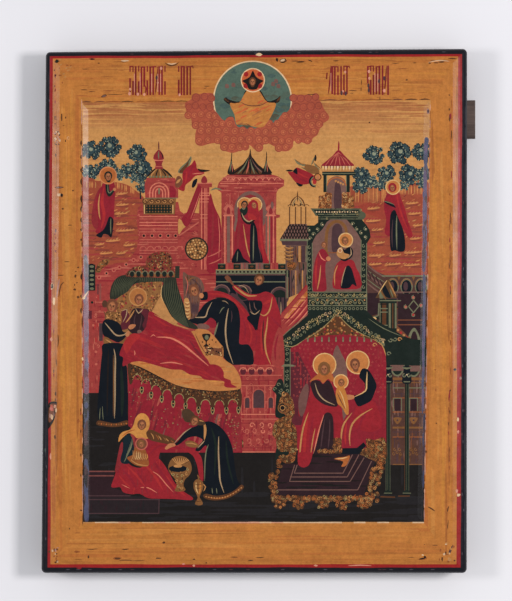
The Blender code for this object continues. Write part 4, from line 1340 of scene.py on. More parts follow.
stroke(FLESH_DARK, 1.9, 124.6, 201.4, 127.6, 198.6, 130.4, 194.6)
form(FLESH_DARK, 124, 200.6, 126, 202, 128.4, 199.6, 126.6, 197.4)
head(147.4, 198.8, 4.4, -18, hair=BROWN)
form(PURPLE_DARK, 133, 187, 136.4, 183.4, 140.6, 176, 138.6, 175.6, 134.4, 181)
form(NAVY, 139.4, 184.6, 139.6, 178.6, 142.6, 174.4, 147.6, 175.6, 149.6, 180, 149, 184.4, 144, 185)
stroke(PURPLE, 0.6, 141, 184, 141.4, 179, 143.4, 176.4)
stroke(PURPLE, 0.6, 144, 184, 144.4, 180.4, 146, 178.4)
stroke(ROBE_LIGHT, 0.8, 141.4, 177.4, 144.6, 175.4, 148, 178.4)
form(
    RED, 112, 191, 118, 191.6, 126, 189.4, 133, 184.6, 139, 178, 143, 171, 146.2, 165, 148.4, 158, 146.6,
    152, 143.6, 150.6, 138, 155, 134.4, 155, 133.6, 165, 134.2, 172, 133, 180, 127, 186, 118, 187, 112,
    184, 107, 186, 109, 189,
)
stroke(SCARLET, 1.6, 113, 189.6, 122, 188.6, 131, 184, 138, 176)
stroke(CRIMSON, 1.2, 136, 174, 138, 166, 137.4, 158)
stroke(CRIMSON, 0.8, 144, 166, 146, 160, 144.6, 153.4)
stroke(SCARLET, 1.3, 140, 170, 142.4, 162, 141, 155)
form(NAVY, 139.4, 172, 140.4, 174.6, 147, 175, 146.8, 169, 145.4, 164.4, 143, 168)
form(
    NAVY, 99, 171, 101, 172.6, 104, 174, 107, 178, 111, 183, 117, 186, 125, 186.2, 131, 182.6, 133.8, 177,
    134.6, 170, 134, 160, 134.4, 155.2, 140, 155, 142.6, 151.4, 143.4, 149, 143.4, 141.6, 136, 141.2, 128,
    141.6, 122, 148, 118.8, 156, 117, 163, 119.4, 170, 116, 171.4, 114, 173, 111, 170, 107, 168.4, 103,
    169.4,
)
form(CRIMSON, 114.6, 173.2, 111.6, 170, 113, 166.8, 118, 166.6, 118, 170.4)
stroke(ROBE_LIGHT, 0.9, 101.6, 173.4, 107, 173.4, 111, 174, 112.6, 178.6, 115.4, 183.8)
stroke(ROBE_LIGHT, 0.5, 122, 184.6, 124.4, 184.4, 126.6, 182.6)
stroke(GREEN_GREY, 0.7, 120.4, 176, 122.4, 179.4, 124, 180.4)
stroke(ROBE_LIGHT, 1.1, 126.6, 179.6, 125.2, 172, 124.6, 163, 126, 153, 129.8, 141.8)
stroke(PURPLE_DARK, 0.6, 128.6, 178, 129, 174, 128.4, 170)
stroke(GREEN_GREY, 1.1, 119.6, 170, 118, 164.6, 117, 161)
form(between(PURPLE, BROWN, 0.4), 95.6, 204, 99, 202.4, 104, 201.4, 107.6, 199.4, 109.8, 195, 110, 190,
     107.4, 185, 106.4, 178, 104.4, 173.6, 99.4, 172.6, 96.4, 180, 96, 192)
hood = len(coats) - 1
streaks((PURPLE, BROWN, PURPLE_DARK, FLESH_DARK), 70, 96, 172, 110, 204, 7, 1.0, True, inside=hood)
stroke(PURPLE_DARK, 0.8, 100, 200, 103.6, 198.4, 107, 194.4)
stroke(GOLD_DARK, 0.8, 98, 196, 100.6, 199.6, 104.4, 200.6)
stroke(WALL_PINK, 0.7, 97, 201.4, 99, 196, 97.4, 188)
for i in range(12):
    stroke(PURPLE_DARK, 0.5, 101 + i * 0.5, 184, 101.6 + i * 0.4, 180, 101 + i * 0.4, 175.6, inside=hood)
form(GOLD, 96.6, 185.8, 99.4, 186, 100.6, 179, 100.6, 172.4, 97, 172.2, 96.4, 179)
for y in (184, 181.6, 179, 176.6, 174.4):
    stroke(GOLD_PALE, 0.8, 97, y, 98.6, y - 0.8, 100.2, y)
    stroke(FLESH_DARK, 0.5, 97, y - 1, 98.6, y - 1.8, 100.2, y - 1.2)
form(NAVY, 107.6, 185.6, 109, 190.2, 112.2, 190.6, 112.4, 186, 110, 185)
disc(FLESH, 108.2, 188.2, 1.6, 1.9, count=10)
head(103.2, 191.4, 4.6, 22, hair=FLESH_DARK)
form(PURPLE, 104.4, 165.4, 105.6, 168.6, 109, 169.2, 113, 168, 113.6, 166, 109, 164.6)

# The green canopy over the bed, with its gilded crown and fringe.
form(GOLD_DARK, 44, 209, 46, 212.4, 42, 213, 38, 210, 36, 204.6, 39, 204, 41, 207)
scrollwork(37, 205, 44, 212, 1.4, len(coats) - 1)
area(GREEN, 31, 191.6, 31, 209.4, 36, 209.4, 36, 191.6)
for y in range(193, 209, 3):
    disc(GREEN_GREY, 33.6, y, 1.5, 0.9, count=10)
    disc(NAVY, 33.4, y + 1.4, 1.7, 0.6, count=8)
line(between(PURPLE, WALL, 0.5), 1.3, 39.4, 185, 39.4, 196.4)
line(PURPLE_DARK, 0.7, 37.8, 185, 37.8, 196)
for x, y in ((43.6, 203.4), (57, 209.4), (67, 214.4), (48.6, 205.6), (62, 212.4), (38.6, 200.6),
             (52.4, 207.4)):
    disc(WALL_PINK, x, y, 1.5, count=9)
    disc(GREEN if int(x) % 2 else RED, x, y, 0.7, count=7)
streaks((WALL_PINK, WALL_DARK, SCARLET), 40, 32, 122, 41, 190, 5, 0.9, True)
for x, y in ((33.8, 183.6), (36.4, 175.4), (39, 177.4), (34.6, 168), (36.4, 150), (36.6, 141.6)):
    disc(WALL_PINK if y < 180 else GREEN, x, y, 0.9, count=8)
area(MAROON, 27.6, 172.4, 27.6, 178, 33.6, 178, 33.6, 172.4)
area(PURPLE_DARK, 38.6, 157.4, 38.6, 169.4, 41.2, 169.4, 41, 157.4)
area(between(GOLD, GOLD_DARK, 0.8), 50, 165, 50, 184, 58, 197.4, 81.6, 198, 81.4, 188, 84.2, 180.6, 92,
     170, 92, 163, 60, 160)
alcove = len(coats) - 1
for i in range(420):
    x, y = hand.uniform(50, 81.5), hand.uniform(172, 198)
    tone = hand.choice((FLESH_DARK, BROWN, BROWN, WALL_DARK, FLESH_DARK, GOLD, OCHRE_RED, GOLD_DARK))
    disc(tone, x, y, hand.uniform(0.35, 0.85), count=5, inside=alcove)
area(GOLD, 79, 186, 80.6, 188, 84.2, 180.6, 92, 170, 88, 166, 74, 176, inside=alcove)
stroke(GOLD_PALE, 0.8, 81.6, 196, 80.8, 189, 82.6, 183.6, inside=alcove)
form(
    CANOPY, 46, 186, 46.4, 193, 49, 198.6, 53, 201.6, 58, 202.4, 66, 201.4, 80, 200.4, 90, 200.8, 91.6,
    196, 93.8, 189, 96.6, 181, 97.6, 175, 100, 171.2, 104.6, 168, 105.4, 165.4, 99, 166.4, 93.4, 169.4,
    88, 174, 84, 181, 81.2, 187.4, 81.2, 193, 82, 197.4, 76, 197.6, 69, 197.2, 62.4, 196, 58, 191, 54,
    188.6, 49.4, 185.6,
)
canopy = len(coats) - 1
for i in range(13):
    x = 47.4 + i * 1.1
    stroke(CANOPY_LIGHT, 0.7, x, 187 + i * 0.25, x + 0.4, 192 + i * 0.3, x + 3 + i * 0.3, 200.6,
           inside=canopy)
    stroke(GREEN, 0.6, x + 0.6, 187 + i * 0.25, x + 1, 192 + i * 0.3, x + 3.6 + i * 0.3, 200.6,
           inside=canopy)
for i in range(12):
    stroke(CANOPY_LIGHT, 0.6, 66 + i * 1.5, 197.4, 66.6 + i * 1.5, 199, 66.2 + i * 1.5, 201, inside=canopy)
for i in range(9):
    x = 83 + i * 1.2
    stroke(CANOPY_LIGHT, 0.8, x, 199, x + 0.4 + i * 0.1, 188, x + 5 - i * 0.2, 176, x + 12 - i * 0.6,
           166.6, inside=canopy)
    stroke(GREEN, 0.7, x + 0.6, 199, x + 1.0 + i * 0.1, 188, x + 5.6 - i * 0.2, 176, x + 12.6 - i * 0.6,
           166.6, inside=canopy)
area(CANOPY, 90, 200, 90.4, 208.4, 93.4, 208.4, 93.2, 200)
form(between(BROWN, WALL_DARK, 0.4), 57, 201.4, 60, 206.4, 66, 208.6, 70.4, 209, 71.4, 214.6, 76, 217.4,
     83, 218, 87.6, 215.4, 88.6, 209, 89.6, 201.4, 74, 200.8)
crown = len(coats) - 1
for i in range(300):
    x, y = hand.uniform(58, 89), hand.uniform(202, 218)
    tone = hand.choice((GOLD_DARK, BROWN, OCHRE_DARK, GREEN, WALL_DARK, GILT, RED, INK))
    disc(tone, x, y, hand.uniform(0.4, 0.7), count=5, inside=crown)
for x, y in ((71.6, 210.4), (76, 214.6), (80.6, 216), (85.4, 213.6), (82.4, 213), (74, 207.6),
             (79.4, 208), (86.4, 208.4), (66.4, 206.6)):
    curl(hand.choice((GOLD, GOLD_DARK, GILT)), 0.5, x, y, 1.5, hand.choice((0, 90, 180)))
for i in range(7):
    x = 61 + i * 4.4
    disc(GREEN, x, 202.8, 1.5, 1.9, count=10)
    disc(GOLD_DARK, x + 2.2, 202.2, 0.7, 1.7, count=8)
    arc(GREEN_GREY, 0.5, x, 202.8, 1.9, 0, 180, 2.2)

# The mother lying on the bed, and the woman in dark robes who attends her.
halo(65, 187.4, 6.3, between(HALO, GOLD_DARK, 0.4), GOLD)
form(
    PLUM, 59.6, 163.6, 57.4, 168, 59.4, 174, 61, 178.4, 64, 179.8, 67.4, 179.4, 71.4, 179, 73.4, 176.4,
    72.4, 170, 70, 163, 64, 161,
)
form(MAROON, 66, 178, 69, 179.2, 72.6, 177.6, 72.8, 172, 70.4, 165, 68, 168, 69.6, 173)
stroke(PURPLE_DARK, 0.7, 63.6, 176, 62.4, 171, 63.4, 166)
stroke(PURPLE_DARK, 0.7, 67.6, 175, 67, 170, 66, 165.4)
form(MAROON, 53.4, 176, 54.4, 172, 53, 167.6, 54, 165, 58.4, 166, 59.6, 170, 59.4, 174.6, 57, 178.6, 55.4,
     178.4)
stroke(ROBE_LIGHT, 0.7, 54, 177.6, 57.4, 178.8, 56.8, 174, 54.6, 170)
stroke(GOLD, 1.1, 62.6, 178.4, 60, 174, 56.6, 169.6)
stroke(ROBE_LIGHT, 0.8, 63.4, 179.6, 65.4, 176.2, 68.4, 179)
form(FLESH, 58.4, 166.6, 60, 168.6, 63.6, 168.4, 62, 166, 59.6, 165.2)
head(65.6, 185.4, 4.0, -12, hair=FLESH_DARK)
disc(PURPLE, 66, 163.6, 1.6, 1.4, count=8)
form(GOLD_DARK, 42.6, 171.6, 43, 176.6, 46, 178.4, 50, 177, 54, 172.6, 53, 170.4, 47, 170)
for i in range(26):
    x, y = hand.uniform(43, 53), hand.uniform(171, 177)
    disc(hand.choice((BROWN, GOLD, INK, GOLD)), x, y, 0.6, count=6)
form(
    NAVY, 41, 170, 43.6, 172.2, 49.6, 171, 53, 168.4, 54.6, 164, 57.8, 162.6, 57, 160.4, 52, 156.4, 46.6,
    158.4, 42, 160.6, 40.6, 165,
)
form(GOLD_DARK, 42, 160, 45, 159.4, 48, 156.8, 52, 156, 56.6, 159.6, 57.4, 157.6, 52, 154.4, 42.4, 155)
stroke(GOLD, 0.9, 43, 158.4, 45.4, 157, 47, 155.8)
stroke(ROBE_LIGHT, 1.0, 42.4, 170, 46, 165.6, 50.4, 161.2, 55.6, 161.6, 58, 164)
form(FLESH, 56.4, 161, 58, 164.2, 59.4, 163.6, 58.6, 160.4)
form(
    NAVY, 41.6, 155.4, 40.6, 149, 39.6, 140, 38.4, 125, 37.4, 112, 38.4, 103.6, 42, 101.6, 50, 101.2,
    58.4, 102.6, 57.6, 108, 58.2, 120, 57.6, 139, 56, 141, 55, 146, 52.8, 149, 55, 155.4,
)
stroke(GREEN, 2.4, 53.6, 140, 54.4, 122, 54, 106)
stroke(INK, 1.2, 45, 152, 44.4, 130, 44, 106)
stroke(ROBE_LIGHT, 1.1, 48.6, 152, 49.6, 146, 49.4, 134, 49.4, 118, 49, 104.6)
stroke(GOLD_DARK, 0.6, 48.2, 148, 48.4, 130, 48.2, 106)
stroke(GREEN_GREY, 0.5, 39.4, 112, 39, 107, 39, 103.6)
stroke(GREEN_GREY, 0.5, 40.8, 113, 41, 108, 41.4, 103.6)
form(BROWN, 36.8, 100.4, 38, 103.2, 43, 102.4, 50, 101.4, 57.4, 103.4, 58.2, 100.6, 50, 98.8, 43, 99.2)
for i in range(12):
    disc(OCHRE_RED if i % 2 else GOLD_DARK, 38.4 + i * 1.7, 101.2 - 0.8 * math.sin(math.pi * i / 11), 0.6,
         count=6)
head(47.2, 181, 5.0, -14, hair=FLESH_DARK)
disc(between(GREEN, FLESH_DARK, 0.5), 42.4, 182.6, 1.9, 2.6, count=10)
stroke(FLESH_DARK, 0.9, 41.4, 178, 43, 175, 43.2, 172)

# The bed: a little table with a cup, the linen sheet, the red cover and the embroidered valance.
form(LINEN, 104.6, 165.2, 108, 165.6, 113, 164.4, 117.4, 160, 121, 155.6, 123, 152.6, 122.6, 145, 117,
     144, 110, 148, 106, 156, 103.4, 162)
area(CRIMSON, 58.4, 144, 58.4, 99.6, 62.4, 97, 63, 81.4, 136, 81.4, 134.6, 124, 110, 120, 80, 126)
skirt = len(coats) - 1
for i in range(130):
    x, y = 60 + hand.random() * 73, hand.uniform(80, 126)
    tone = between(CRIMSON, hand.choice((MAROON, WALL_DARK, WALL_PINK, RED, PURPLE, WALL)),
                   hand.uniform(0.3, 0.8))
    stroke(tone, hand.uniform(0.9, 2.4), x, y, x + 1.4, y + 6, x + 3.4, y + 12, inside=skirt)
area(WALL_DARK, 129, 108, 134.8, 112, 135, 82, 129, 82, inside=skirt)
for i in range(330):
    low_right = i % 3 == 0
    x, y = (hand.uniform(117, 134),
            hand.uniform(83, 112)) if low_right else (hand.uniform(59, 134), hand.uniform(97, 126))
    tone = hand.choice((GREEN_GREY, OCHRE_DARK, MAROON, BROWN, GILT, WALL_PINK))
    disc(between(CRIMSON, tone, hand.uniform(0.4, 0.9)), x, y, hand.uniform(0.3, 0.6), count=5,
         inside=skirt)
form(
    between(INK, BROWN, 0.6), 58, 142.4, 64, 142.6, 74, 137.6, 82, 133, 90, 128.6, 100, 125.6, 112, 124,
    124, 123.6, 134.8, 124.4, 135, 111,
    131.6, 113, 127, 113, 123.6, 110.6, 120, 113.4, 114, 110.4, 110, 113.4, 106, 110.4, 102, 115, 97.6,
    113.6, 94, 117.6, 88, 114.4, 84.4, 120.6, 79, 118.6, 76.4, 124, 71, 121.4, 69, 127, 64.4, 125.4, 62.4,
    130, 59.4, 128,
)
valance = len(coats) - 1
arches = (64.6, 131.6, 70.6, 128.4, 77.4, 124.6, 85, 121.4, 93, 118.6, 101.4, 116.2, 111, 114.6, 120.4,
          114.2, 129.6, 114.8)
for x, y in pairs(arches):
    form(CRIMSON, x - 3.2, y - 6, x - 3, y - 1, x - 1.6, y + 2, x, y + 2.8, x + 1.6, y + 2, x + 3, y - 1,
         x + 3.2, y - 6)
    arc(GILT, 0.5, x, y - 0.6, 3.2, 0, 180, 3.5)
for i in range(620):
    share = hand.random()
    x = 60 + share * 74
    y = 141 - 26 * share + 9 * share * share + hand.uniform(-9, 1)
    tone = hand.choice((GOLD_DARK, OCHRE_DARK, GILT, INK, GREEN, BROWN, GOLD_DARK))
    disc(tone, x, y, hand.uniform(0.35, 0.6), count=5, inside=valance)
for x, y in ((67.6, 124), (74, 120.6), (81.2, 118), (89, 114.6), (97.4, 113), (106.2, 110.4),
             (115.8, 110), (125.2, 110), (133.4, 110.4)):
    form(GILT, x - 1.1, y + 2, x - 1.2, y - 1, x, y - 2.8, x + 1.2, y - 1, x + 1.1, y + 2)
    form(GREEN, x - 0.6, y + 2, x - 0.7, y - 0.8, x, y - 1.9, x + 0.7, y - 0.8, x + 0.6, y + 2)
    disc(GOLD, x, y + 0.2, 0.45, count=6)
stroke(INK, 0.9, 60, 141.6, 72, 136.6, 84, 130.6, 98, 125.6, 114, 123.2, 134.6, 123.6)
form(
    LINEN, 59.6, 142.2, 66, 145, 80, 152, 100, 163, 104, 164, 109, 160, 111.4, 154, 115, 149.6, 121, 147,
    125.4, 143.6, 129.6, 140.8, 133, 136, 135, 131, 135.2, 126.4, 133, 124.4, 122, 123.2, 112, 123.6, 100,
    125.2, 90, 127.8, 82, 131.8, 74, 136, 66, 140,
)
sheet = len(coats) - 1
streaks((OCHRE_LIGHT, GOLD, OCHRE_RED), 40, 66, 124, 134, 142, 16, 1.1, inside=sheet)
form(
    between(RED, CRIMSON, 0.45), 73, 177.6, 79, 174.6, 86, 170, 93, 166.6, 100.6, 164, 103.6, 160, 106.4,
    154, 109.6, 148, 112.6, 144.4, 114, 141.6,
    117, 141.4, 121, 139.8, 123.4, 136, 123.6, 132.4, 128, 130.6, 128.6, 128, 132.6, 125.8, 126, 125.6,
    123.6, 127, 123.6, 129.8, 118, 130.4, 110, 131.2, 107, 133.6, 100, 134.6, 95, 137.6, 88, 138, 80, 140,
    73, 142, 66, 143.6, 60, 142.6, 54.6, 140.2, 55, 146, 52.4, 148, 55, 155, 60, 162, 66, 162.6, 70, 166,
    71.6, 172,
)
cover = len(coats) - 1
for x0, y0, x1, y1, x2, y2, tone, width in (
    (72, 172, 84, 169, 100, 163, CRIMSON, 3.0), (60, 154, 78, 150, 96, 142, CRIMSON, 4.0),
    (74, 164, 88, 160, 103, 150, SCARLET, 3.0), (62, 160, 70, 158, 84, 152, SCARLET, 2.4),
    (90, 148, 104, 140, 120, 133, CRIMSON, 4.0), (100, 158, 107, 148, 113, 142, MAROON, 1.8),
    (58, 147, 66, 146, 80, 143.4, SCARLET, 2.0), (107, 136, 110, 141, 115, 141.6, CRIMSON, 3.0),
    (84, 144, 95, 142.4, 106, 137, SCARLET, 1.6), (75, 174, 84, 168, 94, 163, SCARLET, 1.4),
    (118, 134, 123, 131, 128, 129, CRIMSON, 1.8), (58, 152, 62, 150, 66, 146, WALL_DARK, 1.2),
    (86, 154, 96, 149.4, 106, 142.4, RED, 2.6), (76, 146, 88, 146, 98, 141, WALL_DARK, 1.4),
):
    stroke(between(RED, tone, 0.6), width, x0, y0, x1, y1, x2, y2, inside=cover)
for i in range(120):
    x, y = hand.uniform(54, 128), hand.uniform(128, 176)
    tone = between(between(RED, CRIMSON, 0.45), hand.choice((SCARLET, CRIMSON, WALL, WALL_DARK)),
                   hand.uniform(0.2, 0.7))
    stroke(tone, hand.uniform(0.8, 1.8), x - 4, y + 1.6, x, y + 0.4, x + 4, y - 1.8, inside=cover)
stroke(ROSE, 1.3, 77.6, 160, 87, 159.4, 95, 155.4, 103, 149, 113, 140.4)
stroke(ROSE, 0.9, 80, 142, 88, 142.8, 95.6, 141.2)
stroke(ROSE, 0.6, 73.6, 160, 75.4, 161.6, 77, 160.4)
stroke(ROSE, 0.7, 62.4, 151, 63, 149, 62.6, 147.6)
stroke(GOLD, 0.9, 76, 175.4, 84, 171.6, 92, 168, 100, 165.4)
form(SCARLET, 55, 155, 58.6, 160.6, 63, 162.6, 66.6, 160.4, 61.6, 155.4, 57.4, 148.6)
form(INK, 108.8, 162, 114.2, 162, 113.4, 158.6, 112, 157, 112, 155.2, 113.4, 153.6, 109.4, 153.6, 111,
     155.2, 111, 157, 109.6, 158.6)
disc(GREEN_GREY, 111.8, 159.8, 1.4, 1.7, count=10)
area(FLESH_DARK, 110.6, 149, 110.6, 153, 122.4, 152.4, 122.6, 146.6, 116, 148)
for i in range(46):
    x, y = hand.uniform(110, 122.4), hand.uniform(147.6, 153.4)
    disc(hand.choice((GOLD, GOLD_PALE, INK, BROWN, GOLD_DARK)), x, y, 0.6, count=6)
for x, y in ((118, 156.6), (115.6, 158), (109, 156.6), (120.4, 149), (113.6, 155)):
    disc(INK, x, y, 0.5, count=6)
stroke(FLESH_DARK, 0.6, 104, 162, 107.4, 154.6, 111.6, 148)

# At the bed's foot the midwife bathes the child, and a maid in dark robes bends down with a jug.
form(FOLIAGE, 55, 80, 55, 90, 58, 93.4, 61, 91, 62, 86, 62.4, 80, 60, 74, 55, 73, 52.6, 75.4)
stroke(GREEN_GREY, 0.8, 57, 93, 59, 87, 60.6, 80)
form(
    RED, 46.8, 58.2, 48.6, 64, 50.6, 70, 53, 73.6, 57, 75, 61, 72.2, 66, 71, 69, 72.4, 72, 76, 76, 79, 80,
    76.6, 83, 73, 86.4, 67.4, 90, 61, 96, 55, 102, 51, 101, 49, 90, 49.8, 80, 50, 72, 50.4, 66, 53.4, 61,
    53, 55, 54.4, 53, 57.8, 50, 57.6,
)
dress = len(coats) - 1
streaks((CRIMSON, SCARLET, WALL_DARK, RED), 46, 48, 52, 98, 80, 9, 1.3, True, inside=dress)
form(WALL_DARK, 49.4, 68, 51, 78, 53, 87, 54.8, 88, 54.4, 80, 54, 73)
form(
    RED, 68.8, 74, 70, 80, 74, 85, 79, 88.2, 84, 89, 90, 86.6, 96, 84.6, 101, 84, 104.6, 82.6, 108.2, 78,
    109.4, 70, 109.4, 62, 107, 64, 105.4, 72, 102.6, 79, 97, 82.4, 88, 84, 82, 83.8, 79.6, 80, 78.6, 76,
    73, 73.4,
)
stroke(CRIMSON, 1.5, 72, 79, 78, 85, 86, 86, 96, 83.6)
stroke(ROSE, 0.7, 74, 69, 79, 66, 84, 60, 89, 54.6)
stroke(ROSE, 0.7, 66.6, 57.6, 72, 57.4, 78, 54)
stroke(ROSE, 0.6, 54, 59.6, 59.6, 57)
for x0, y0, x1, y1, x2, y2, tone, width in (
    (54, 70, 60, 64, 64, 56, CRIMSON, 1.8), (64, 70, 68, 62, 72, 53, CRIMSON, 1.8),
    (76, 76, 82, 66, 92, 53, CRIMSON, 2.2), (57, 73, 64, 66, 70, 58, SCARLET, 1.4),
    (70, 73, 76, 66, 82, 56, SCARLET, 1.8), (52, 66, 56, 61, 60, 58, SCARLET, 1.2),
    (84, 66, 90, 58, 98, 51.6, SCARLET, 1.4),
):
    stroke(tone, width, x0, y0, x1, y1, x2, y2, inside=dress)
form(
    OCHRE_LIGHT, 51.8, 88.6, 52.4, 93, 55, 95.6, 60, 97.2, 62, 100.4, 63.4, 105, 66.4, 108, 70, 107.6,
    72.6, 104.2, 72.8, 99, 71.4, 95.6, 73.4, 93.4, 72, 91, 68, 90.8, 64, 91.4, 62, 93.4, 58.6, 94.6, 54.6,
    91.6,
)
stroke(OCHRE_RED, 1.0, 54, 92.4, 58.6, 95.6, 63, 97)
head(67.6, 100, 3.9, -4, hair=FLESH_DARK)
form(FOLIAGE, 56, 92, 60, 93, 62, 88, 62.6, 80, 61, 75, 56, 73.6, 53, 76, 55, 84)
form(BROWN, 70.6, 95, 74, 97, 80, 94.4, 88, 91.6, 91, 88.6, 87, 87, 79, 88.4, 72.6, 90.4)
for i in range(10):
    stroke(hand.choice((GOLD_DARK, GOLD, BROWN, OCHRE_DARK)), 0.7, 72 + i * 1.7, 95.4 - i * 0.6,
           73.6 + i * 1.7, 93 - i * 0.5, 74 + i * 1.7, 90.6 - i * 0.2)
form(between(OCHRE_RED, BROWN, 0.45), 61.6, 80, 62.6, 84.6, 65, 86, 69.6, 84, 71.4, 79, 72.6, 73.6, 70,
     71.8, 64, 72.6, 60, 75, 57.6, 78)
for i in range(9):
    x = 60.6 + i * 1.2
    stroke(hand.choice((GOLD, GOLD_PALE, OCHRE_LIGHT)), 0.6, x, 76.4, x + 1.2, 79 - i * 0.1, x + 1.0,
           83 - i * 0.3)
    stroke(FLESH_DARK, 0.4, x + 0.6, 75.6, x + 1.8, 78.4 - i * 0.1, x + 1.6, 82 - i * 0.3)
for i in range(6):
    stroke(GREEN_GREY, 0.6, 55.4 + i * 0.9, 75 + i * 1.6, 57 + i * 0.8, 77.6 + i * 2, 57.4 + i * 0.7,
           81 + i * 2)
stroke(GOLD, 0.8, 60, 76.6, 65, 73.4, 72, 72.4)
halo(67.4, 87.4, 4.3, FLESH_DARK, WALL_PINK)
head(67.2, 87, 2.9, 10, hair=GOLD_DARK)
form(NAVY, 89, 86.4, 92, 89, 96, 94, 99, 97.4, 104, 99.2, 110, 102.2, 115, 102.4, 121, 99, 126, 93, 129.2,
     85, 130.2, 78, 131.2, 70, 133, 62, 136.2, 58, 134, 55, 128, 53, 120, 52, 112, 53, 110.4, 60, 110.4,
     70, 111, 78, 112, 85, 110.4, 86, 107, 82.4, 104, 83, 106, 86, 109, 89.4, 108, 91, 104, 92.4, 99,
     91.4, 95, 88.4, 92, 86.4)
stroke(GREEN, 1.6, 115, 98, 118, 86, 117, 66)
stroke(GREEN, 1.4, 125, 90, 126, 76, 130, 60)
stroke(ROBE_LIGHT, 0.7, 89.6, 87.6, 93, 91.4, 97, 95.4, 101.4, 98.4)
stroke(ROBE_LIGHT, 0.8, 110.4, 89.6, 108.6, 87.6, 105.6, 84.4)
stroke(GREEN_GREY, 0.8, 113, 87, 111.4, 82, 110.6, 74, 110.4, 62)
stroke(ROBE_LIGHT, 1.1, 120, 92.4, 119.8, 82, 120.4, 70, 121, 62, 123.6, 54)
stroke(GOLD, 1.8, 110, 102, 110.8, 97, 110.2, 90)
for x in (115.4, 118.4):
    stroke(GREEN_GREY, 0.6, x, 57.4, x + 0.2, 55.4, x + 0.4, 53.4)
form(BROWN, 109.4, 52.4, 112, 53.4, 118, 52, 126, 53.4, 131.6, 56.4, 135.4, 59.6, 137, 57.4, 132.4, 53.6,
     126, 50.2, 118, 48.8, 111, 50)
stroke(OCHRE_DARK, 0.9, 110.4, 51.6, 118, 50.2, 126, 51.6, 135.4, 57.6)
for i in range(14):
    share = i / 13
    disc(GOLD, 111.4 + 24 * share, 51.4 - 1.6 * math.sin(math.pi * share) + 6 * share ** 2.4, 0.5, count=6)
form(between(CANOPY, BROWN, 0.5), 95, 107.4, 95.6, 110.4, 99, 111.4, 102.6, 108.6, 104.6, 106, 110, 103,
     110.6, 100.4, 106, 100, 102, 101.6, 97, 102.6)
stroke(GOLD, 0.9, 102.4, 101.6, 106, 103.4, 110, 102.4)
head(103.6, 102.8, 3.9, -24, hair=BROWN)
form(GOLD_DARK, 97, 88.4, 100, 89.6, 104, 88.4, 106.6, 86, 104, 84.8, 99, 85.6)
stroke(GOLD, 0.7, 98, 87.6, 101.6, 87.8, 105.4, 86.4)
form(FLESH, 83.4, 84.6, 86, 87.4, 89.6, 87.6, 90.6, 86, 87.6, 85, 84.4, 83.4)

# The gilded font and jug.
form(
    GOLD_DARK, 85.8, 73, 88, 77, 92, 79, 97, 78.4, 100.6, 75, 101.6, 70, 100, 66, 97, 63, 96, 59, 97.4,
    56, 94, 54.8, 90, 55.4, 91.4, 59, 90.4, 63, 88, 66, 86, 69,
)
bowl = len(coats) - 1
for i in range(9):
    stroke(GOLD, 0.7, 93, 72.6, 90 + i * 1.1, 75.4, 88 + i * 1.7, 78, inside=bowl)
    stroke(BROWN, 0.5, 93.4, 72.6, 90.6 + i * 1.1, 75.4, 88.8 + i * 1.7, 78, inside=bowl)
disc(NAVY, 92.2, 70.4, 6.3, 2.3, count=18)
disc(GOLD, 92.2, 72.2, 3.0, 1.0, count=12)
for x, y in ((89, 66.6), (92, 65.6), (95, 65.6), (98, 66.8), (91.4, 62.6), (94.6, 62), (92.6, 58.4),
             (95, 57.4), (99, 70)):
    curl(hand.choice((GOLD, GILT)), 0.45, x, y, 1.1, hand.choice((0, 90, 180)))
for i in range(44):
    disc(hand.choice((BROWN, INK, GOLD)), hand.uniform(86, 101), hand.uniform(55.6, 68.6), 0.4, count=5,
         inside=bowl)
form(
    GOLD_DARK, 103, 61, 105, 63.2, 108, 62.6, 109.6, 60, 109, 56, 107.6, 53, 107, 51, 108.2, 49, 109.2,
    46.4, 106.6, 45.4, 103.8, 46.4, 105, 49, 105.6, 51, 104.4, 54, 103, 57,
)
stroke(GOLD_PALE, 0.9, 104.6, 61.4, 104.6, 57, 106, 53.4)
stroke(OCHRE, 1.5, 107.4, 61.4, 107.4, 57, 106.6, 53)
stroke(GOLD_DARK, 1.2, 106, 62, 106.4, 64.4, 105.4, 66.4)
stroke(GOLD, 0.8, 109.4, 60, 111, 58, 109.6, 55)
for y in (60, 57.6, 48.6):
    stroke(BROWN, 0.5, 103.6, y, 106, y - 0.5, 109, y)

# The margins: ochre brushed along each side, a red line round it, and the black edge of the board outside.
# Along the crest between margins and field: a pale line at the foot, painted highlight with rubbed spots at
# the sides, and painted shade at the top.
GOLD_WARM = pigment(198, 130, 56)
CREAM_DULL = pigment(212, 176, 138)
FLESH_PALE = pigment(206, 150, 120)
PINK_GREY = pigment(168, 124, 112)
CREST = ((27.5, 33.6), (259.6, 33.6), (264.2, 321.1), (26.7, 319.3))
OCHRE_END = ((5.5, 5.4), (281.7, 5.4), (282.9, 351.0), (7.1, 349.6))
RED_END = ((3.5, 3.2), (284.6, 3.2), (285.6, 352.6), (5.0, 351.2))


def wavering(start, end, amount):
    """A hand-drawn edge between two corners."""
    steps = 36
    length = math.dist(start, end)
    across = ((start[1] - end[1]) / length, (end[0] - start[0]) / length)
    phases = [hand.uniform(0, 6.3) for _ in range(3)]
    edge = []
    for i in range(steps + 1):
        share = i / steps
        wave = sum(math.sin(phase + share * turns) for phase, turns in zip(phases, (9, 23, 51)))
        drift = amount * wave / 2 * min(1, 8 * share * (1 - share))
        x, y = between(start, end, share)
        edge.append((x + across[0] * drift, y + across[1] * drift))
    return edge


def margin(colour, outer, inner, outer_wave, inner_wave):
    """Four strips round the board, mitred at the corners. Their places among the coats are given back."""
    global brushwork
    strips = []
    for side in range(4):
        onward = (side + 1) % 4
        brushwork = (0.3, 0, 0) if side % 2 == 0 else (0, 0.3, 0)
        edge = wavering(outer[side], outer[onward], outer_wave)
        back = wavering(inner[onward], inner[side], inner_wave)
        strips.append(fill(colour, edge + back))
    return strips


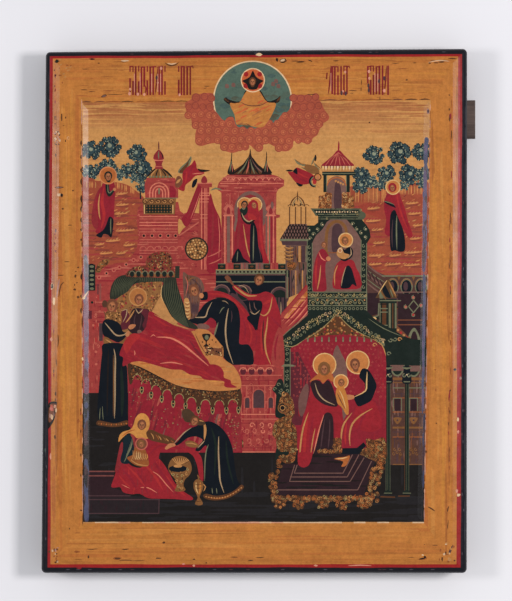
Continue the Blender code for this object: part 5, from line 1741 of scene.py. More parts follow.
margin(EDGE_RED, RED_END, CREST, 0.22, 0.1)
foot, right, top, left = margin(OCHRE, OCHRE_END, CREST, 0.16, 0.12)
brushwork = (0.3, 0, 0)
for strip_at, x0, y0, x1, y1, count in ((foot, 6, 6, 281, 33, 120), (top, 8, 321, 282, 350, 150)):
    for i in range(count):
        y = hand.uniform(y0, y1)
        near_edge = (y - y0) / (y1 - y0) if strip_at == top else 1 - (y - y0) / (y1 - y0)
        tones = (OCHRE_RED, OCHRE_DARK, OCHRE_RED,
                 OCHRE) if hand.random() < near_edge * 0.8 else (OCHRE, OCHRE_LIGHT, GOLD_WARM, OCHRE_RED)
        x, run, thick = hand.uniform(x0, x1), hand.uniform(8, 48), hand.uniform(0.6, 2.4)
        tone = between(OCHRE, hand.choice(tones), hand.uniform(0.2, 0.55))
        start, end = max(x - run, x0), min(x + run, x1)
        stroke(tone, thick, start, y, x, y + hand.uniform(-0.4, 0.4), end, y, inside=strip_at)
brushwork = (0, 0.3, 0)
for strip_at, x0, x1 in ((left, 7, 26), (right, 262, 282)):
    for i in range(100):
        share = hand.random()
        x, y = x0 + (x1 - x0) * share, hand.uniform(20, 335)
        inner = share if strip_at == left else 1 - share
        tones = (OCHRE_RED, OCHRE_RED,
                 OCHRE_DARK) if inner > 0.85 or inner < 0.3 else (OCHRE, OCHRE_LIGHT, GOLD_WARM, OCHRE)
        run, thick = hand.uniform(8, 40), hand.uniform(0.8, 2.8)
        tone = between(OCHRE, hand.choice(tones), hand.uniform(0.3, 0.8))
        lean = x + (y - 180) * (-0.006 if strip_at == left else 0.012)
        start, end = max(y - run, 7), min(y + run, 348)
        stroke(tone, thick, lean, start, lean + hand.uniform(-0.3, 0.3), y, lean, end, inside=strip_at)
# Along the sunken field the slopes carry a painted highlight: lavender strokes with darker ones among them,
# wide at the foot and broken higher up, where the slopes face the lamps.
LAVENDER = pigment(92, 76, 104)
LAVENDER_BLUE = pigment(70, 72, 98)
LAVENDER_RED = pigment(112, 62, 82)
for x_foot, x_top, wide, low, high, tones in (
    (30.0, 29.8, 3.0, 34.4, 121, (PURPLE_DARK, LAVENDER_BLUE, DUSK_BLUE, LAVENDER_BLUE)),
    (30.0, 29.6, 3.2, 121, 188, (LAVENDER_RED, LAVENDER_RED, MAROON, LAVENDER)),
    (29.8, 29.4, 3.0, 188, 216, (LAVENDER, LAVENDER_BLUE, PURPLE_DARK)),
    (258.4, 259.6, 0.9, 36, 108, (PURPLE_DARK, LAVENDER_BLUE, DUSK_BLUE)),
    (258.7, 259.9, 1.6, 108, 204, (LAVENDER_BLUE, LAVENDER_BLUE, LAVENDER)),
    (259.6, 261.2, 2.8, 204, 296, (LAVENDER_BLUE, LAVENDER, PURPLE_DARK, LAVENDER)),
):
    for i in range(int((high - low) / 1.2)):
        share = hand.random()
        x, y, run = x_foot + (x_top
                              - x_foot) * share, low + 2 + (high - low - 4) * share, hand.uniform(2, 7)
        start, end = max(y - run, low), min(y + run, high)
        sway = hand.uniform(-0.5, 0.5)
        stroke(hand.choice(tones), hand.uniform(0.4, 1.0) * wide, x + sway, start, x + sway, y, x + sway,
               end)
brushwork = (0.2, 0.2, 0)
for i in range(70):
    y = hand.uniform(322, 349)
    x, run = hand.choice((hand.uniform(20, 60), hand.uniform(230, 262),
                          hand.uniform(170, 230))), hand.uniform(1, 6)
    stroke(OCHRE_DARK, 0.35, x - run, y, x, y + 0.2, x + run, y, inside=top)
# A dark line along the top crest, and darker, warmer sky strokes just under it: painted shade on the top
# slope.
for i in range(26):
    x, run = 30 + i * 9.2, hand.uniform(3, 7)
    y = 319.6 + (x - 27) * 0.0076
    stroke(hand.choice((FLESH_DARK, OCHRE_DARK, BROWN)), hand.uniform(0.4, 1.0), x - run, y, x, y + 0.5,
           x + run, y + 0.2)
for i in range(110):
    x, y, run = hand.uniform(30, 258), 318.6 - 9 * hand.random() ** 2, hand.uniform(3, 12)
    tone = between(SKY, SKY_WARM, hand.uniform(0.3, 1))
    stroke(tone, hand.uniform(0.4, 1.1), max(x - run, 27.5), y, x, y + 0.2, min(x + run, 262.5), y)
for i in range(29):
    x = 27.8 + i * 8.0
    tone = hand.choice((CREAM_DULL, CREAM_DULL, GOLD, FLESH_PALE))
    strip(tone, hand.uniform(0.7, 1.0),
          [(x, 33.9), (x + 4, 33.9 + hand.uniform(-0.1, 0.1)), (min(x + 8.1, 259.6), 33.9)], False)
# Along the side crests the pale strokes are painted highlight where the slopes face the lamps, and the darker
# ones are rubbed spots.
for x_foot, x_top, dark in ((27.5, 26.8, True), (259.7, 263.9, False)):
    for i in range(70):
        share = (i + hand.random()) / 70
        x, y = x_foot + (x_top - x_foot) * share, 35 + 283 * share
        run = hand.uniform(1, 4.5)
        tone = hand.choice((FLESH_PALE, PINK_GREY, OCHRE_DARK, PINK_GREY) if not dark
                           else (FLESH_PALE, BROWN, PINK_GREY, OCHRE_DARK))
        stroke(tone, hand.uniform(0.4, 0.9), x, y - run, x, y, x, y + run)

# The half-round of heaven at the top: a blue-green disc over a red cloud, and a figure in gold who blesses.
ROBE_GOLD = pigment(192, 122, 60)
ORANGE = pigment(196, 96, 54)
brushwork = (0.1, 0.1, 0)
disc(CREAM, 143, 321.2, 26.9, count=64)
disc(TEAL, 143, 321.2, 26.0, count=64)
heaven = len(coats) - 1
for i in range(120):
    x, y = hand.uniform(117, 169), hand.uniform(296, 347)
    tone = between(TEAL, TEAL_DARK, min(1, max(0, (330 - y) / 20 + hand.uniform(-0.3, 0.4))))
    if hand.random() < 0.3:
        tone = between(TEAL, FOLIAGE_MID, 0.5)
    form(tone, x - 3, y, x, y + 1.6, x + 3, y + 0.2, x, y - 1.4, inside=heaven)
for x, y in ((125.6, 330.6), (130, 331.4), (157, 332), (160.6, 330.6), (159, 334)):
    form(PURPLE, x - 1.2, y - 1, x - 1, y + 1.4, x + 1, y + 1.2, x + 1.2, y - 1.2)
form(INK, 123.4, 322, 125.2, 323, 127, 321.6, 134.8, 320.4, 139, 328.8, 147.4, 328.8, 153, 320.6, 159.4,
     322.2, 161.6, 324, 161.6, 321, 159, 319, 150, 317.6, 130, 317.6, 124.6, 320)
form(
    CLOUD, 97, 319, 98, 313, 97.6, 309.8, 101, 309, 102, 304, 105, 303, 104, 298, 104.4, 291.8, 108, 290,
    113, 291.4, 120, 292, 121.6, 288, 125, 286.4, 130, 285.4, 136, 287.6, 141, 290.6, 144, 288, 147.6,
    287.4, 150, 290.4, 153, 292, 158, 289.6, 162, 286.8, 167, 286.6, 170.4, 289.6, 171, 293.4, 175, 293,
    179, 291.8, 183, 292.4, 184, 295.4, 187, 297.4, 188.6, 301, 190.4, 305, 194.4, 307.6, 195, 310.6, 192,
    314.6, 189, 320.6, 184, 324, 176, 324.8, 170.6, 324, 169.6, 318, 167, 313.6, 163, 311.6, 161, 309,
    159, 306.2, 156, 306, 153, 306.4, 145, 302, 133, 303, 130, 309.4, 126, 309.4, 124, 307.2, 121.6, 309,
    119, 312.4, 116.8, 315, 116.2, 320, 116.4, 325.4, 111, 326, 105, 324.6, 100, 321,
)
puffs = (
    (323, (105, 110, 114.6, 171, 176, 181, 186)), (317, (99.4, 104, 109, 114, 173, 178, 183, 188)),
    (311, (99, 103.6, 108.4, 113.4, 117, 165, 170, 175, 181, 186.4, 191.4)),
    (305, (104, 108.6, 113.6, 118, 122.6, 127.6, 154.6, 160, 166, 172, 178, 183.6, 188)),
    (300, (107.5, 113, 119, 125, 131, 136, 141.6, 147, 152, 158, 164, 170, 175, 181, 185.4)),
    (294, (107, 113, 119, 125, 130, 135, 141, 147, 152, 158, 163, 168, 174, 180.4)),
    (289, (124, 129, 134, 138, 147, 161, 166)),
)
for y, row in puffs:
    for x in row:
        x, y_here, size = x + hand.uniform(-0.5, 0.5), y + hand.uniform(-0.8, 0.8), hand.uniform(2.4, 3.1)
        low_tone = CLOUD_DARK if y > 313 else between(CLOUD, CLOUD_DARK, 0.55)
        high_tone = CLOUD if y > 313 else CLOUD_LIGHT
        disc(low_tone, x, y_here, size, count=14)
        disc(between(CLOUD, low_tone, 0.3), x, y_here, size - 0.55, count=12)
        arc(between(CLOUD, high_tone, 0.5), 0.55, x, y_here, size * 0.62, 20, 320)
        disc(high_tone, x, y_here, 0.62, count=7)
form(
    ROBE_GOLD, 143, 329.8, 139.4, 327.8, 136.8, 324.2, 134.8, 320.4, 131, 319, 127.6, 319.2, 128.6, 315.6,
    130.8, 311, 131.8, 305, 135, 304.4, 140, 304.2, 145, 302.8, 150, 303, 152.6, 305.6, 156, 311, 159,
    318.6, 155, 319.6, 152, 320.8, 149.6, 324.4, 147, 328,
)
robe = len(coats) - 1
for i in range(34):
    x, y = hand.uniform(131, 156), hand.uniform(304, 327)
    stroke(hand.choice((ORANGE, OCHRE_LIGHT, ORANGE, SKY_WARM)), hand.uniform(0.5, 1.4), x - 2, y - 1, x,
           y + 0.3, x + 2.6, y + 1.2, inside=robe)
stroke(FLESH_DARK, 0.7, 134.6, 320, 140, 317.6, 148, 317.6, 153, 320, inside=robe)
stroke(FLESH_DARK, 0.6, 133, 304.6, 139, 305, 142, 303.4)
halo(143.2, 334.7, 8.3, ORANGE, CREAM)
for x, y in ((138.6, 338.8), (147.8, 338.8), (138.4, 330.8), (148, 330.8)):
    disc(EDGE_RED, x, y, 1.7, count=9)
form(INK, 143.2, 341.2, 145, 337.6, 147.4, 335.6, 150.4, 334.2, 147.4, 332, 145.8, 328.6, 140.6, 328.6,
     139, 332, 136, 334.2, 139.2, 335.8, 141.4, 337.6)
head(143, 333.6, 3.1, 0, hair=BROWN, beard=BROWN)
stroke(BROWN, 1.4, 123.6, 322.4, 125.6, 321, 128, 320)
stroke(BROWN, 1.4, 162, 323.6, 160.6, 321.4, 159, 319.6)
stroke(INK, 0.8, 125, 321.6, 129, 319.8, 134.6, 319.6)
stroke(INK, 0.8, 152.6, 320, 156.6, 319.8, 161.4, 320.8)

# The titles over the picture: rows of tall red strokes, close like an old inscription, that spell nothing.

PINK_WORN = pigment(214, 146, 120)


def lettering(x0, x1, y0, y1):
    x = x0
    while x < x1:
        tone = between(INSCRIPTION_RED, CRIMSON, hand.random() * 0.6)
        foot, cap = y0 + hand.uniform(0, 0.6), y1 - hand.uniform(0, 0.6)
        kind = hand.random()
        bar = hand.uniform(1.1, 1.35)
        if kind < 0.55:
            line(tone, bar, x, foot, x, cap)
        elif kind < 0.75:
            line(tone, bar, x, foot + hand.uniform(5, 8), x, cap)
            stroke(tone, 0.9, x + 0.2, foot + 7, x + 1.2, foot + 4, x + 0.3, foot)
        elif kind < 0.9:
            line(tone, bar, x, foot, x, foot + hand.uniform(9, 14))
            line(tone, 0.9, x, cap - 4, x, cap)
        else:
            stroke(tone, 1.1, x - 0.9, foot, x + 0.2, foot + 9, x + 0.9, cap)
        if hand.random() < 0.28 and x + 2 < x1:
            line(tone, 0.8, x, cap - 0.4, x + 2.1, cap - 0.4)
        if hand.random() < 0.2 and x + 2 < x1:
            line(tone, 0.8, x, foot + 9, x + 2.1, foot + 9.6)
        if hand.random() < 0.3:
            line(PINK_WORN, 0.5, x + 0.95, foot + 2, x + 0.95, cap - 5)
        x += hand.uniform(1.75, 2.15)


lettering(59.7, 84.6, 324.4, 344.6)
lettering(92.8, 102.4, 324.4, 344.6)
lettering(195.4, 208.4, 324.6, 344.8)
lettering(221.4, 235.2, 324.6, 344.8)
line(INSCRIPTION_RED, 1.0, 193.3, 335.4, 193.7, 339.8)
stroke(INSCRIPTION_RED, 0.9, 100.6, 343.6, 102.2, 344.4, 102.6, 342.4)
stroke(INSCRIPTION_RED, 0.9, 207.4, 343, 208.6, 344.4, 209.2, 342.4)
for x, y, size in ((59.8, 328.6, 0.8), (59.4, 325.6, 1.0), (65, 325.2, 0.9), (69.4, 325, 0.8),
                   (80.8, 342.8, 0.9), (78.6, 333, 0.6), (222.2, 340.6, 0.9),
                   (222.4, 336, 0.8), (232.6, 327.6, 1.0), (206, 340.2, 0.7), (204.4, 327.2, 0.7),
                   (93.4, 324.8, 0.8)):
    disc(PINK_WORN, x, y, size, size * 1.3, count=8)
for x, y in ((221.8, 331), (222, 328), (229, 334), (232.6, 336), (203.6, 326), (206.4, 325.6),
             (77.8, 336.4)):
    disc(PURPLE_DARK, x, y, 0.8, 1.6, count=8)


# Chips, scratches, worn spots and small losses, each where age has left it, with a few painted highlights on
# the edges. The deeper ones are sunk into the surface.

GREY_WEAR_AND_SHEEN = pigment(78, 74, 80)
CORNERS = [
    max(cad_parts["board"].data.vertices, key=lambda v: v.co.x * a + v.co.y * b).co
    for a, b in ((-1, -1), (1, -1), (1, 1), (-1, 1))
]
CORNERS = [((c.x - LEFT) / MM, (c.y - FOOT) / MM) for c in CORNERS]
RIM_CLEAR = 0.5


def on_wood(x, y, wide, tall):
    """A worn spot's place, moved in where the spot would reach past the rim of the board."""
    up = y / CORNERS[3][1]
    across = x / CORNERS[1][0]
    left, right = (CORNERS[a][0] * (1 - up) + CORNERS[b][0] * up for a, b in ((0, 3), (1, 2)))
    foot, top = (CORNERS[a][1] * (1 - across) + CORNERS[b][1] * across for a, b in ((0, 1), (3, 2)))
    wide, tall = 1.2 * wide + RIM_CLEAR, 1.2 * tall + RIM_CLEAR
    return min(max(x, left + wide), right - wide), min(max(y, foot + tall), top - tall)


def chip(x, y, wide, tall, rim=None, core=BROWN, sink=0.2, turn=0):
    """A loss in the paint with a torn outline: a rim where the ground shows, and a dark pit."""
    x, y = on_wood(x, y, wide, tall)
    for colour, grow, depth in ((rim, 1.0, 0.05), (core, 0.66 if rim else 1.0, sink)):
        if colour is None:
            continue
        points = []
        for i in range(11):
            angle = 2 * math.pi * i / 11
            reach = grow * hand.uniform(0.72, 1.15)
            across, up = wide * reach * math.cos(angle), tall * reach * math.sin(angle)
            tilt = math.radians(turn)
            points.append((
                x + across * math.cos(tilt) - up * math.sin(tilt),
                y + across * math.sin(tilt) + up * math.cos(tilt)
            ))
        fill(colour, points, depth=depth)


brushwork = (0, 0, 0)
chip(33.8, 349.2, 2.4, 0.8, OCHRE_DARK, INK)
chip(38.4, 346.4, 0.9, 0.4)
chip(56, 348, 2.8, 0.6, CREAM_DULL, None)
stroke(BROWN, 0.4, 52.6, 347.6, 55, 347, 58, 347.4)
chip(42, 324, 2.3, 1.0, BROWN, PURPLE, turn=18)
stroke(CREAM_DULL, 0.9, 85, 346.4, 88, 345.6, 91.4, 346.6)
stroke(BROWN, 0.9, 83.4, 346.8, 85, 345.4, 88, 344.7, 91, 345.4, 92.8, 346.9)
for x0, y0, x1, thick in (
    (27, 342.4, 31, 0.4), (26, 328.2, 31, 0.5), (31.6, 327, 36, 0.4), (44, 325, 55, 0.4),
    (110, 330.6, 114, 0.5), (109.6, 329.4, 112, 0.4), (169.6, 347.7, 174, 0.6), (172.8, 347, 178.4, 0.9),
    (197.8, 348, 201.6, 0.7), (208.4, 327.7, 214, 0.6), (209, 325.8, 211.6, 0.4), (180, 325, 186, 0.4),
    (17.4, 236, 20.4, 0.5), (14.8, 211.2, 18.6, 0.6), (10.6, 202, 15, 0.5), (14, 303.8, 15, 0.4),
    (52, 8.2, 61, 0.7), (60, 8, 70, 0.4), (22, 8.9, 27, 0.4), (30, 15.8, 38, 0.5), (145, 10, 151, 0.5),
    (54, 15.8, 59, 0.6), (128, 10.4, 133, 0.5), (248.6, 10.2, 253, 0.4), (265, 18.4, 269, 0.5),
    (276, 349.4, 282, 0.9), (262.6, 346.4, 264.4, 1.0), (266, 346.5, 269.6, 0.8),
    (269.4, 347, 273.6, 0.9), (263.6, 348.4, 267, 0.5), (238, 346.2, 243, 0.6), (252, 346.6, 254.4, 0.4),
):
    stroke(hand.choice((BROWN, INK, BROWN)), thick, x0, y0, (x0 + x1) / 2, y0 + hand.uniform(-0.2, 0.2),
           x1, y0 + hand.uniform(-0.2, 0.3))
chip(147.4, 353, 2.3, 1.1, CREAM, None)
chip(159.6, 348.8, 1.0, 1.6, BROWN, INK)
chip(163.6, 348.4, 2.6, 1.3, BROWN, CREAM_DULL, 0.05, 12)
stroke(INK, 0.8, 161.4, 347.2, 164, 346.8, 166.6, 348.2)
stroke(INK, 0.7, 180.4, 348.6, 182.4, 348, 183.6, 347.2)
for x, y, wide, tall in (
    (222.6, 306, 0.8, 0.6), (14, 247.2, 0.8, 0.7), (20.8, 259.6, 0.8, 0.5), (22.6, 201.5, 0.7, 1.3),
    (24.4, 207.4, 0.9, 0.6), (22.2, 192.4, 1.1, 0.9), (24.4, 187.2, 1.1, 0.9), (23.6, 197, 0.6, 0.5),
    (22, 195.6, 0.4, 0.8), (22.8, 204.6, 0.6, 0.4), (9, 6.8, 0.9, 0.7), (4.6, 14, 0.7, 0.9),
    (31.4, 10.6, 0.7, 1.1), (26.4, 42.2, 0.9, 0.6), (82.7, 20.2, 1.1, 0.8), (103.2, 8.9, 1.1, 0.5),
    (111.6, 6.4, 0.8, 0.5), (141.6, 8.1, 1.9, 0.45), (13.2, 309.6, 0.55, 3.2), (15.8, 309.2, 0.5, 0.8),
    (15.8, 293.4, 0.5, 0.9), (247.8, 334.9, 0.8, 0.5), (217, 333, 0.3, 2.2), (216.8, 328.6, 0.3, 1.6),
    (229.6, 322.6, 0.3, 1.4), (276.8, 314.8, 0.5, 0.9), (277, 309, 0.6, 2.6), (276.8, 324.6, 0.5, 0.6),
    (260, 19, 0.4, 0.3), (261, 82, 0.6, 1.2), (277.4, 240, 0.5, 4), (277.4, 211, 0.5, 2),
    (18.6, 29.8, 0.4, 0.7), (79, 9.6, 2.2, 0.5), (274.4, 13, 0.6, 1.6), (272, 9, 0.7, 1.6),
    (280.4, 8, 0.8, 0.6), (10.6, 299.6, 0.9, 0.7),
):
    chip(x, y, wide, tall)
chip(11.4, 261.8, 3.2, 0.7, BROWN, PURPLE)
chip(11.4, 256.8, 1.5, 1.0, CREAM_DULL, None)
chip(13.2, 256.6, 1.2, 1.4, BROWN, INK)
stroke(BROWN, 0.8, 14.8, 197.6, 12.8, 195.4, 11.8, 191.6, 11.2, 187)
stroke(PINK_GREY, 1.3, 11.6, 199.6, 10.8, 194, 9.8, 187)
chip(6.6, 194.6, 1.1, 2.6, CREAM_DULL, GREEN)
# A pale patch on the left edge slope: painted highlight.
chip(7.9, 184.4, 0.9, 2.6, CREAM, None)
form(INK, 3.6, 98, 3.6, 108, 4, 114, 6, 116, 9.8, 116, 9.6, 113, 9, 108, 8.2, 104, 6, 100)
form(FLESH_DARK, 4.4, 102, 4.2, 109, 5, 114, 7.4, 114.8, 9.2, 114, 8, 108.6, 7, 104)
for x, y, wide, tall, tone in (
    (6.2, 111.4, 1.5, 2.4, WALL_PINK), (8.6, 112.8, 1.0, 1.2, FLESH_PALE),
    (6.4, 105.6, 0.9, 2.0, CREAM_DULL), (7.8, 107.6, 0.7, 1.6, PURPLE), (9.4, 110, 0.6, 1.8, CREAM_DULL),
    (5.2, 106.6, 0.6, 1.8, PINK_GREY), (4.8, 113, 0.6, 0.9, GREEN),
):
    chip(x, y, wide, tall, None, tone, 0.08)
chip(8.6, 92, 0.7, 1.8)
chip(9, 121.6, 0.6, 1.6)
chip(8.8, 117.4, 0.5, 1.2)
chip(1.5, 83, 0.5, 1.6, None, TEAL, 0.04)
chip(6, 158.4, 1.0, 1.4, PINK_WORN, None)
chip(5.6, 78.8, 0.6, 2.2, PINK_WORN, None)
chip(27.4, 145.2, 0.6, 1.2, CREAM, None)
chip(24.4, 103, 1.0, 1.4, OCHRE_DARK, None)
stroke(BROWN, 0.8, 10.6, 162, 10.9, 157.6, 10.5, 153)
stroke(BROWN, 0.5, 9.6, 145.4, 9.8, 142, 10, 140)
for y in (134, 136.8, 164, 108, 110.4, 66, 80, 96):
    chip(7.8 if y > 120 else 26.2, y, 0.4, 1.3, None, hand.choice((BROWN, WALL_DARK)), 0.08)
for i in range(26):
    y = hand.uniform(262, 345) if i % 3 else hand.uniform(216, 238)
    chip(hand.uniform(8.2, 9.4), y, hand.uniform(0.25, 0.6), hand.uniform(0.5, 1.3), None,
         hand.choice((WALL_DARK, BROWN, MAROON)), 0.1)
for y0, y1 in ((263.6, 268), (251.6, 256.6), (245, 249), (238, 241.4), (232, 234), (225.4, 227),
               (199, 203), (186.6, 189), (290, 294), (272, 275), (281, 284), (176, 180)):
    stroke(INK, 0.9, 26.6, y0, 26.3, (y0 + y1) / 2, 26.6, y1)
stroke(CREAM_DULL, 1.1, 27.8, 185.4, 29.2, 188.2, 31.4, 191.4)
chip(28.2, 186.6, 0.8, 1.0, CREAM, None)
for i in range(20):
    chip(hand.uniform(6.6, 10.6), hand.uniform(7, 17), hand.uniform(0.3, 0.8), hand.uniform(0.3, 0.9),
         None, hand.choice((CREAM_DULL, PINK_GREY, BROWN, OCHRE_DARK)), 0.05)
for i in range(16):
    chip(hand.uniform(8, 12), hand.uniform(290, 300), hand.uniform(0.4, 0.9), hand.uniform(0.4, 0.9),
         None, hand.choice((CREAM_DULL, PINK_GREY, BROWN)), 0.05)
chip(17.6, 295.4, 1.0, 1.2, CREAM_DULL, OCHRE, 0.05)
chip(10, 347.8, 1.8, 1.4, BROWN, GREEN)
for x, y in ((12.4, 345.2), (16.4, 343), (17.8, 341.4), (15.6, 337), (14.6, 339), (19, 343.6), (12, 348.6)):
    chip(x, y, hand.uniform(0.7, 1.4), 0.5, GOLD, None, turn=20)
for x, y in ((11.6, 343), (12, 338), (13.6, 333), (19.4, 344.6), (17, 344.8)):
    chip(x, y, hand.uniform(0.5, 1.2), 0.6, OCHRE_DARK, None)
chip(51, 9.4, 3.4, 1.1, OCHRE_DARK, BROWN)
chip(23.6, 14, 2.2, 0.8, OCHRE_DARK, None)
chip(96, 5.6, 1.1, 0.6, PINK_WORN, None)
chip(103, 4.5, 0.9, 0.8, PINK_WORN, None)
chip(25, 2.8, 1.8, 0.8, WALL_DARK, None)
chip(258.8, 11.8, 0.9, 0.5, CREAM, None)
chip(258.4, 9.3, 3.6, 0.8, OCHRE_DARK, INK, turn=10)
chip(260.2, 10.4, 0.8, 0.8, None, INK)
stroke(BROWN, 1.0, 262.2, 44.6, 264.6, 43.4, 267, 41.6)
stroke(BROWN, 0.9, 276.4, 45, 275.8, 43, 275.6, 41)
stroke(BROWN, 0.6, 276.2, 35.6, 275.8, 32, 275.6, 29.6)
stroke(PURPLE_DARK, 1.2, 275.8, 12, 277.4, 15, 279.2, 18.6)
stroke(PURPLE_DARK, 0.8, 277, 12.4, 278, 15, 278.6, 18)
for i in range(14):
    chip(hand.uniform(269, 281), hand.uniform(7, 20), hand.uniform(0.4, 1.0), hand.uniform(0.4, 1.1),
         None, hand.choice((OCHRE_DARK, CREAM_DULL, GOLD)), 0.04)
chip(283.2, 52.6, 1.3, 1.1, CREAM, None)
chip(282, 55.4, 0.8, 1.4, PINK_WORN, None)
chip(282.8, 104, 0.7, 1.4, CREAM, None)
chip(282.9, 95.6, 0.7, 1.2, PINK_WORN, None)
chip(186, 4.6, 1.6, 0.7, PINK_WORN, None)
stroke(PINK_WORN, 0.7, 208, 4.4, 216, 4.8, 224, 4.4)
chip(262.4, 313.6, 1.1, 2.0, PINK_GREY, PURPLE_DARK, 0.05)
chip(280.6, 138, 1.2, 0.9, GREY_WEAR_AND_SHEEN, GREEN, 0.1)
chip(267.2, 137.8, 0.6, 0.5, OCHRE_DARK, None)
chip(268, 101.4, 0.7, 0.4)
chip(284.6, 132, 0.7, 1.2, PINK_GREY, None)
chip(267.6, 124, 0.4, 1.2, OCHRE_DARK, None)
for i in range(44):
    y = hand.uniform(60, 320)
    tone = hand.choice((OCHRE_DARK, WALL_DARK, BROWN, OCHRE_DARK))
    chip(277.2 + (y - 180) * 0.004 + hand.uniform(-0.5, 0.7), y, hand.uniform(0.25, 0.5),
         hand.uniform(0.8, 3.2), None, tone, 0.03)
stroke(CREAM_DULL, 0.7, 262.4, 346.8, 270, 348.2, 277, 347.6)
# Broken grey strokes down the black left and right edges: painted highlight where the rounded edges face the
# lamps.
for i in range(60):
    y = hand.uniform(14, 338)
    for x, low_lean in ((1.5, 0.0085), (287.5, 0.001)):
        run = hand.uniform(2, 8)
        stroke(between(EDGE_BLACK, GREY_WEAR_AND_SHEEN, hand.uniform(0.4, 1)), 0.45, x + y * low_lean, y - run,
               x + y * low_lean, y, x + y * low_lean, y + run)
for i in range(46):
    side = hand.choice((0, 1, 2, 3))
    place = hand.random()
    x = (2.2 + 2.6 * place, 285.6 + hand.uniform(-0.6, 1.4), 10 + 265 * place, 10 + 265 * place)[side]
    y = (12 + 330 * place, 12 + 330 * place, 1.8, 353.2 + place)[side]
    wide, tall = ((0.35, 1.2), (0.35, 1.2), (1.4, 0.35), (1.4, 0.3))[side]
    chip(x, y, wide, tall, None, hand.choice((GREY_WEAR_AND_SHEEN, PURPLE_DARK, GREY_WEAR_AND_SHEEN)), 0.04)

# The painted front is cut from the board's own front, and the shapes above are cut into it.
# Each patch takes the colour of the uppermost coat there, and follows the slopes of the real surface.
FRONT_RIM_DROP = 4.9 * MM
MERGE_DISTANCE = 0.001 * MM
LEAST_FOLD = math.radians(0.5)
cad_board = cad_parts["board"]
work = bmesh.new()
work.from_mesh(cad_board.data)
bmesh.ops.remove_doubles(work, verts=work.verts, dist=MERGE_DISTANCE)
bmesh.ops.recalc_face_normals(work, faces=work.faces)
front_faces = [f for f in work.faces if min(v.co.z for v in f.verts) > FRONT - FRONT_RIM_DROP]
front_verts = list(dict.fromkeys(v for f in front_faces for v in f.verts))
index_of = {v: i for i, v in enumerate(front_verts)}
surface = BVHTree.FromPolygons([v.co.copy() for v in front_verts],
                               [[index_of[v] for v in f.verts] for f in front_faces])
folds = [
    tuple(index_of[v] for v in e.verts)
    for e in dict.fromkeys(e for f in front_faces for e in f.edges)
    if len(e.link_faces) == 2 and e.calc_face_angle(0) > LEAST_FOLD
]
chosen = set(front_faces)
rim_edges = [e for f in front_faces for e in f.edges if any(g not in chosen for g in e.link_faces)]
step_from = {e.verts[0]: [] for e in rim_edges} | {e.verts[1]: [] for e in rim_edges}
for e in rim_edges:
    step_from[e.verts[0]].append(e.verts[1])
    step_from[e.verts[1]].append(e.verts[0])
rim = [rim_edges[0].verts[0], step_from[rim_edges[0].verts[0]][0]]
while True:
    onward = [v for v in step_from[rim[-1]] if v is not rim[-2]][0]
    if onward is rim[0]:
        break
    rim.append(onward)


def on_board(point):
    """A place on the board in millimetres, from metres."""
    return Vector(((point.x - LEFT) / MM, (point.y - FOOT) / MM))


points = [on_board(v.co) for v in front_verts]
outline = [index_of[v] for v in rim]
if sum(points[a].cross(points[b]) for a, b in zip(outline, outline[1:] + outline[:1])) < 0:
    outline.reverse()
shapes = [outline]
for colour, corners, inside, depth, brush in coats:
    shapes.append(range(len(points), len(points) + len(corners)))
    points += [Vector(c) for c in corners]
TOLERANCE = 0.01
cut = delaunay_2d_cdt(points, folds, [list(s) for s in shapes], 1, TOLERANCE)
cut_points, cut_edges, pieces, point_sources, edge_sources, piece_sources = cut

# Where two outlines all but touch, a stroke can spill out of its shape. Its extent tells, and such a
# stroke is left out.
SPILL_LIMIT = 1.5
SMALLEST_SPILL = 1
covered = [0] * len(shapes)
for piece, sources in zip(pieces, piece_sources):
    size = extent([cut_points[i] for i in piece])
    for shape in sources:
        covered[shape] += size
sound = {0}
for i, (_, corners, *_) in enumerate(coats, 1):
    if covered[i] < SMALLEST_SPILL + SPILL_LIMIT * extent(corners):
        sound.add(i)
bare_edge = (EDGE_BLACK, 0, (0, 0, 0))
looks = []
for sources in piece_sources:
    laid = [
        i - 1 for i in sources
        if i > 0 and i in sound and (coats[i - 1][2] is None or coats[i - 1][2] + 1 in sources)
    ]
    top = coats[max(laid)] if laid else (EDGE_BLACK, None, None, 0, (0, 0, 0))
    looks.append((top[0], top[3], top[4]) if 0 in sources else None)

# Lines between equal paint are left out again, so that the mesh holds only what can be seen.
meeting = {}
for piece, look in zip(pieces, looks):
    for a, b in zip(piece, piece[1:] + piece[:1]):
        meeting.setdefault((min(a, b), max(a, b)), []).append(look)
folded = {(min(e), max(e)) for e,
          sources in zip(cut_edges, edge_sources) if any(s < len(folds) for s in sources)}
seen_edges = [
    e for e, met in meeting.items()
    if any(met) and (e in folded or len(met) == 1 or met[0] != met[1])
]

# Points that lie almost on the line between their two neighbours go as well.
STRAIGHT_ENOUGH = 0.035
next_to = {}
for a, b in seen_edges:
    next_to.setdefault(a, set()).add(b)
    next_to.setdefault(b, set()).add(a)
fixed = {v for e in folded for v in e} | {v for v,
                                          sources in enumerate(point_sources)
                                          if any(s < len(front_verts) for s in sources)}
for middle in list(next_to):
    if middle in fixed or len(next_to[middle]) != 2:
        continue
    a, b = next_to[middle]
    span = cut_points[b] - cut_points[a]
    if b in next_to[a] or span.length < TOLERANCE:
        continue
    if abs(span.cross(cut_points[middle] - cut_points[a])) / span.length < STRAIGHT_ENOUGH:
        next_to[a].remove(middle)
        next_to[b].remove(middle)
        next_to[a].add(b)
        next_to[b].add(a)
        del next_to[middle]
seen_edges = [(a, b) for a in next_to for b in next_to[a] if a < b]
seen_points = sorted({v for e in seen_edges for v in e})
new_index = {v: i for i, v in enumerate(seen_points)}
from_front = {i: v for v, sources in enumerate(point_sources) for i in sources if i < len(front_verts)}
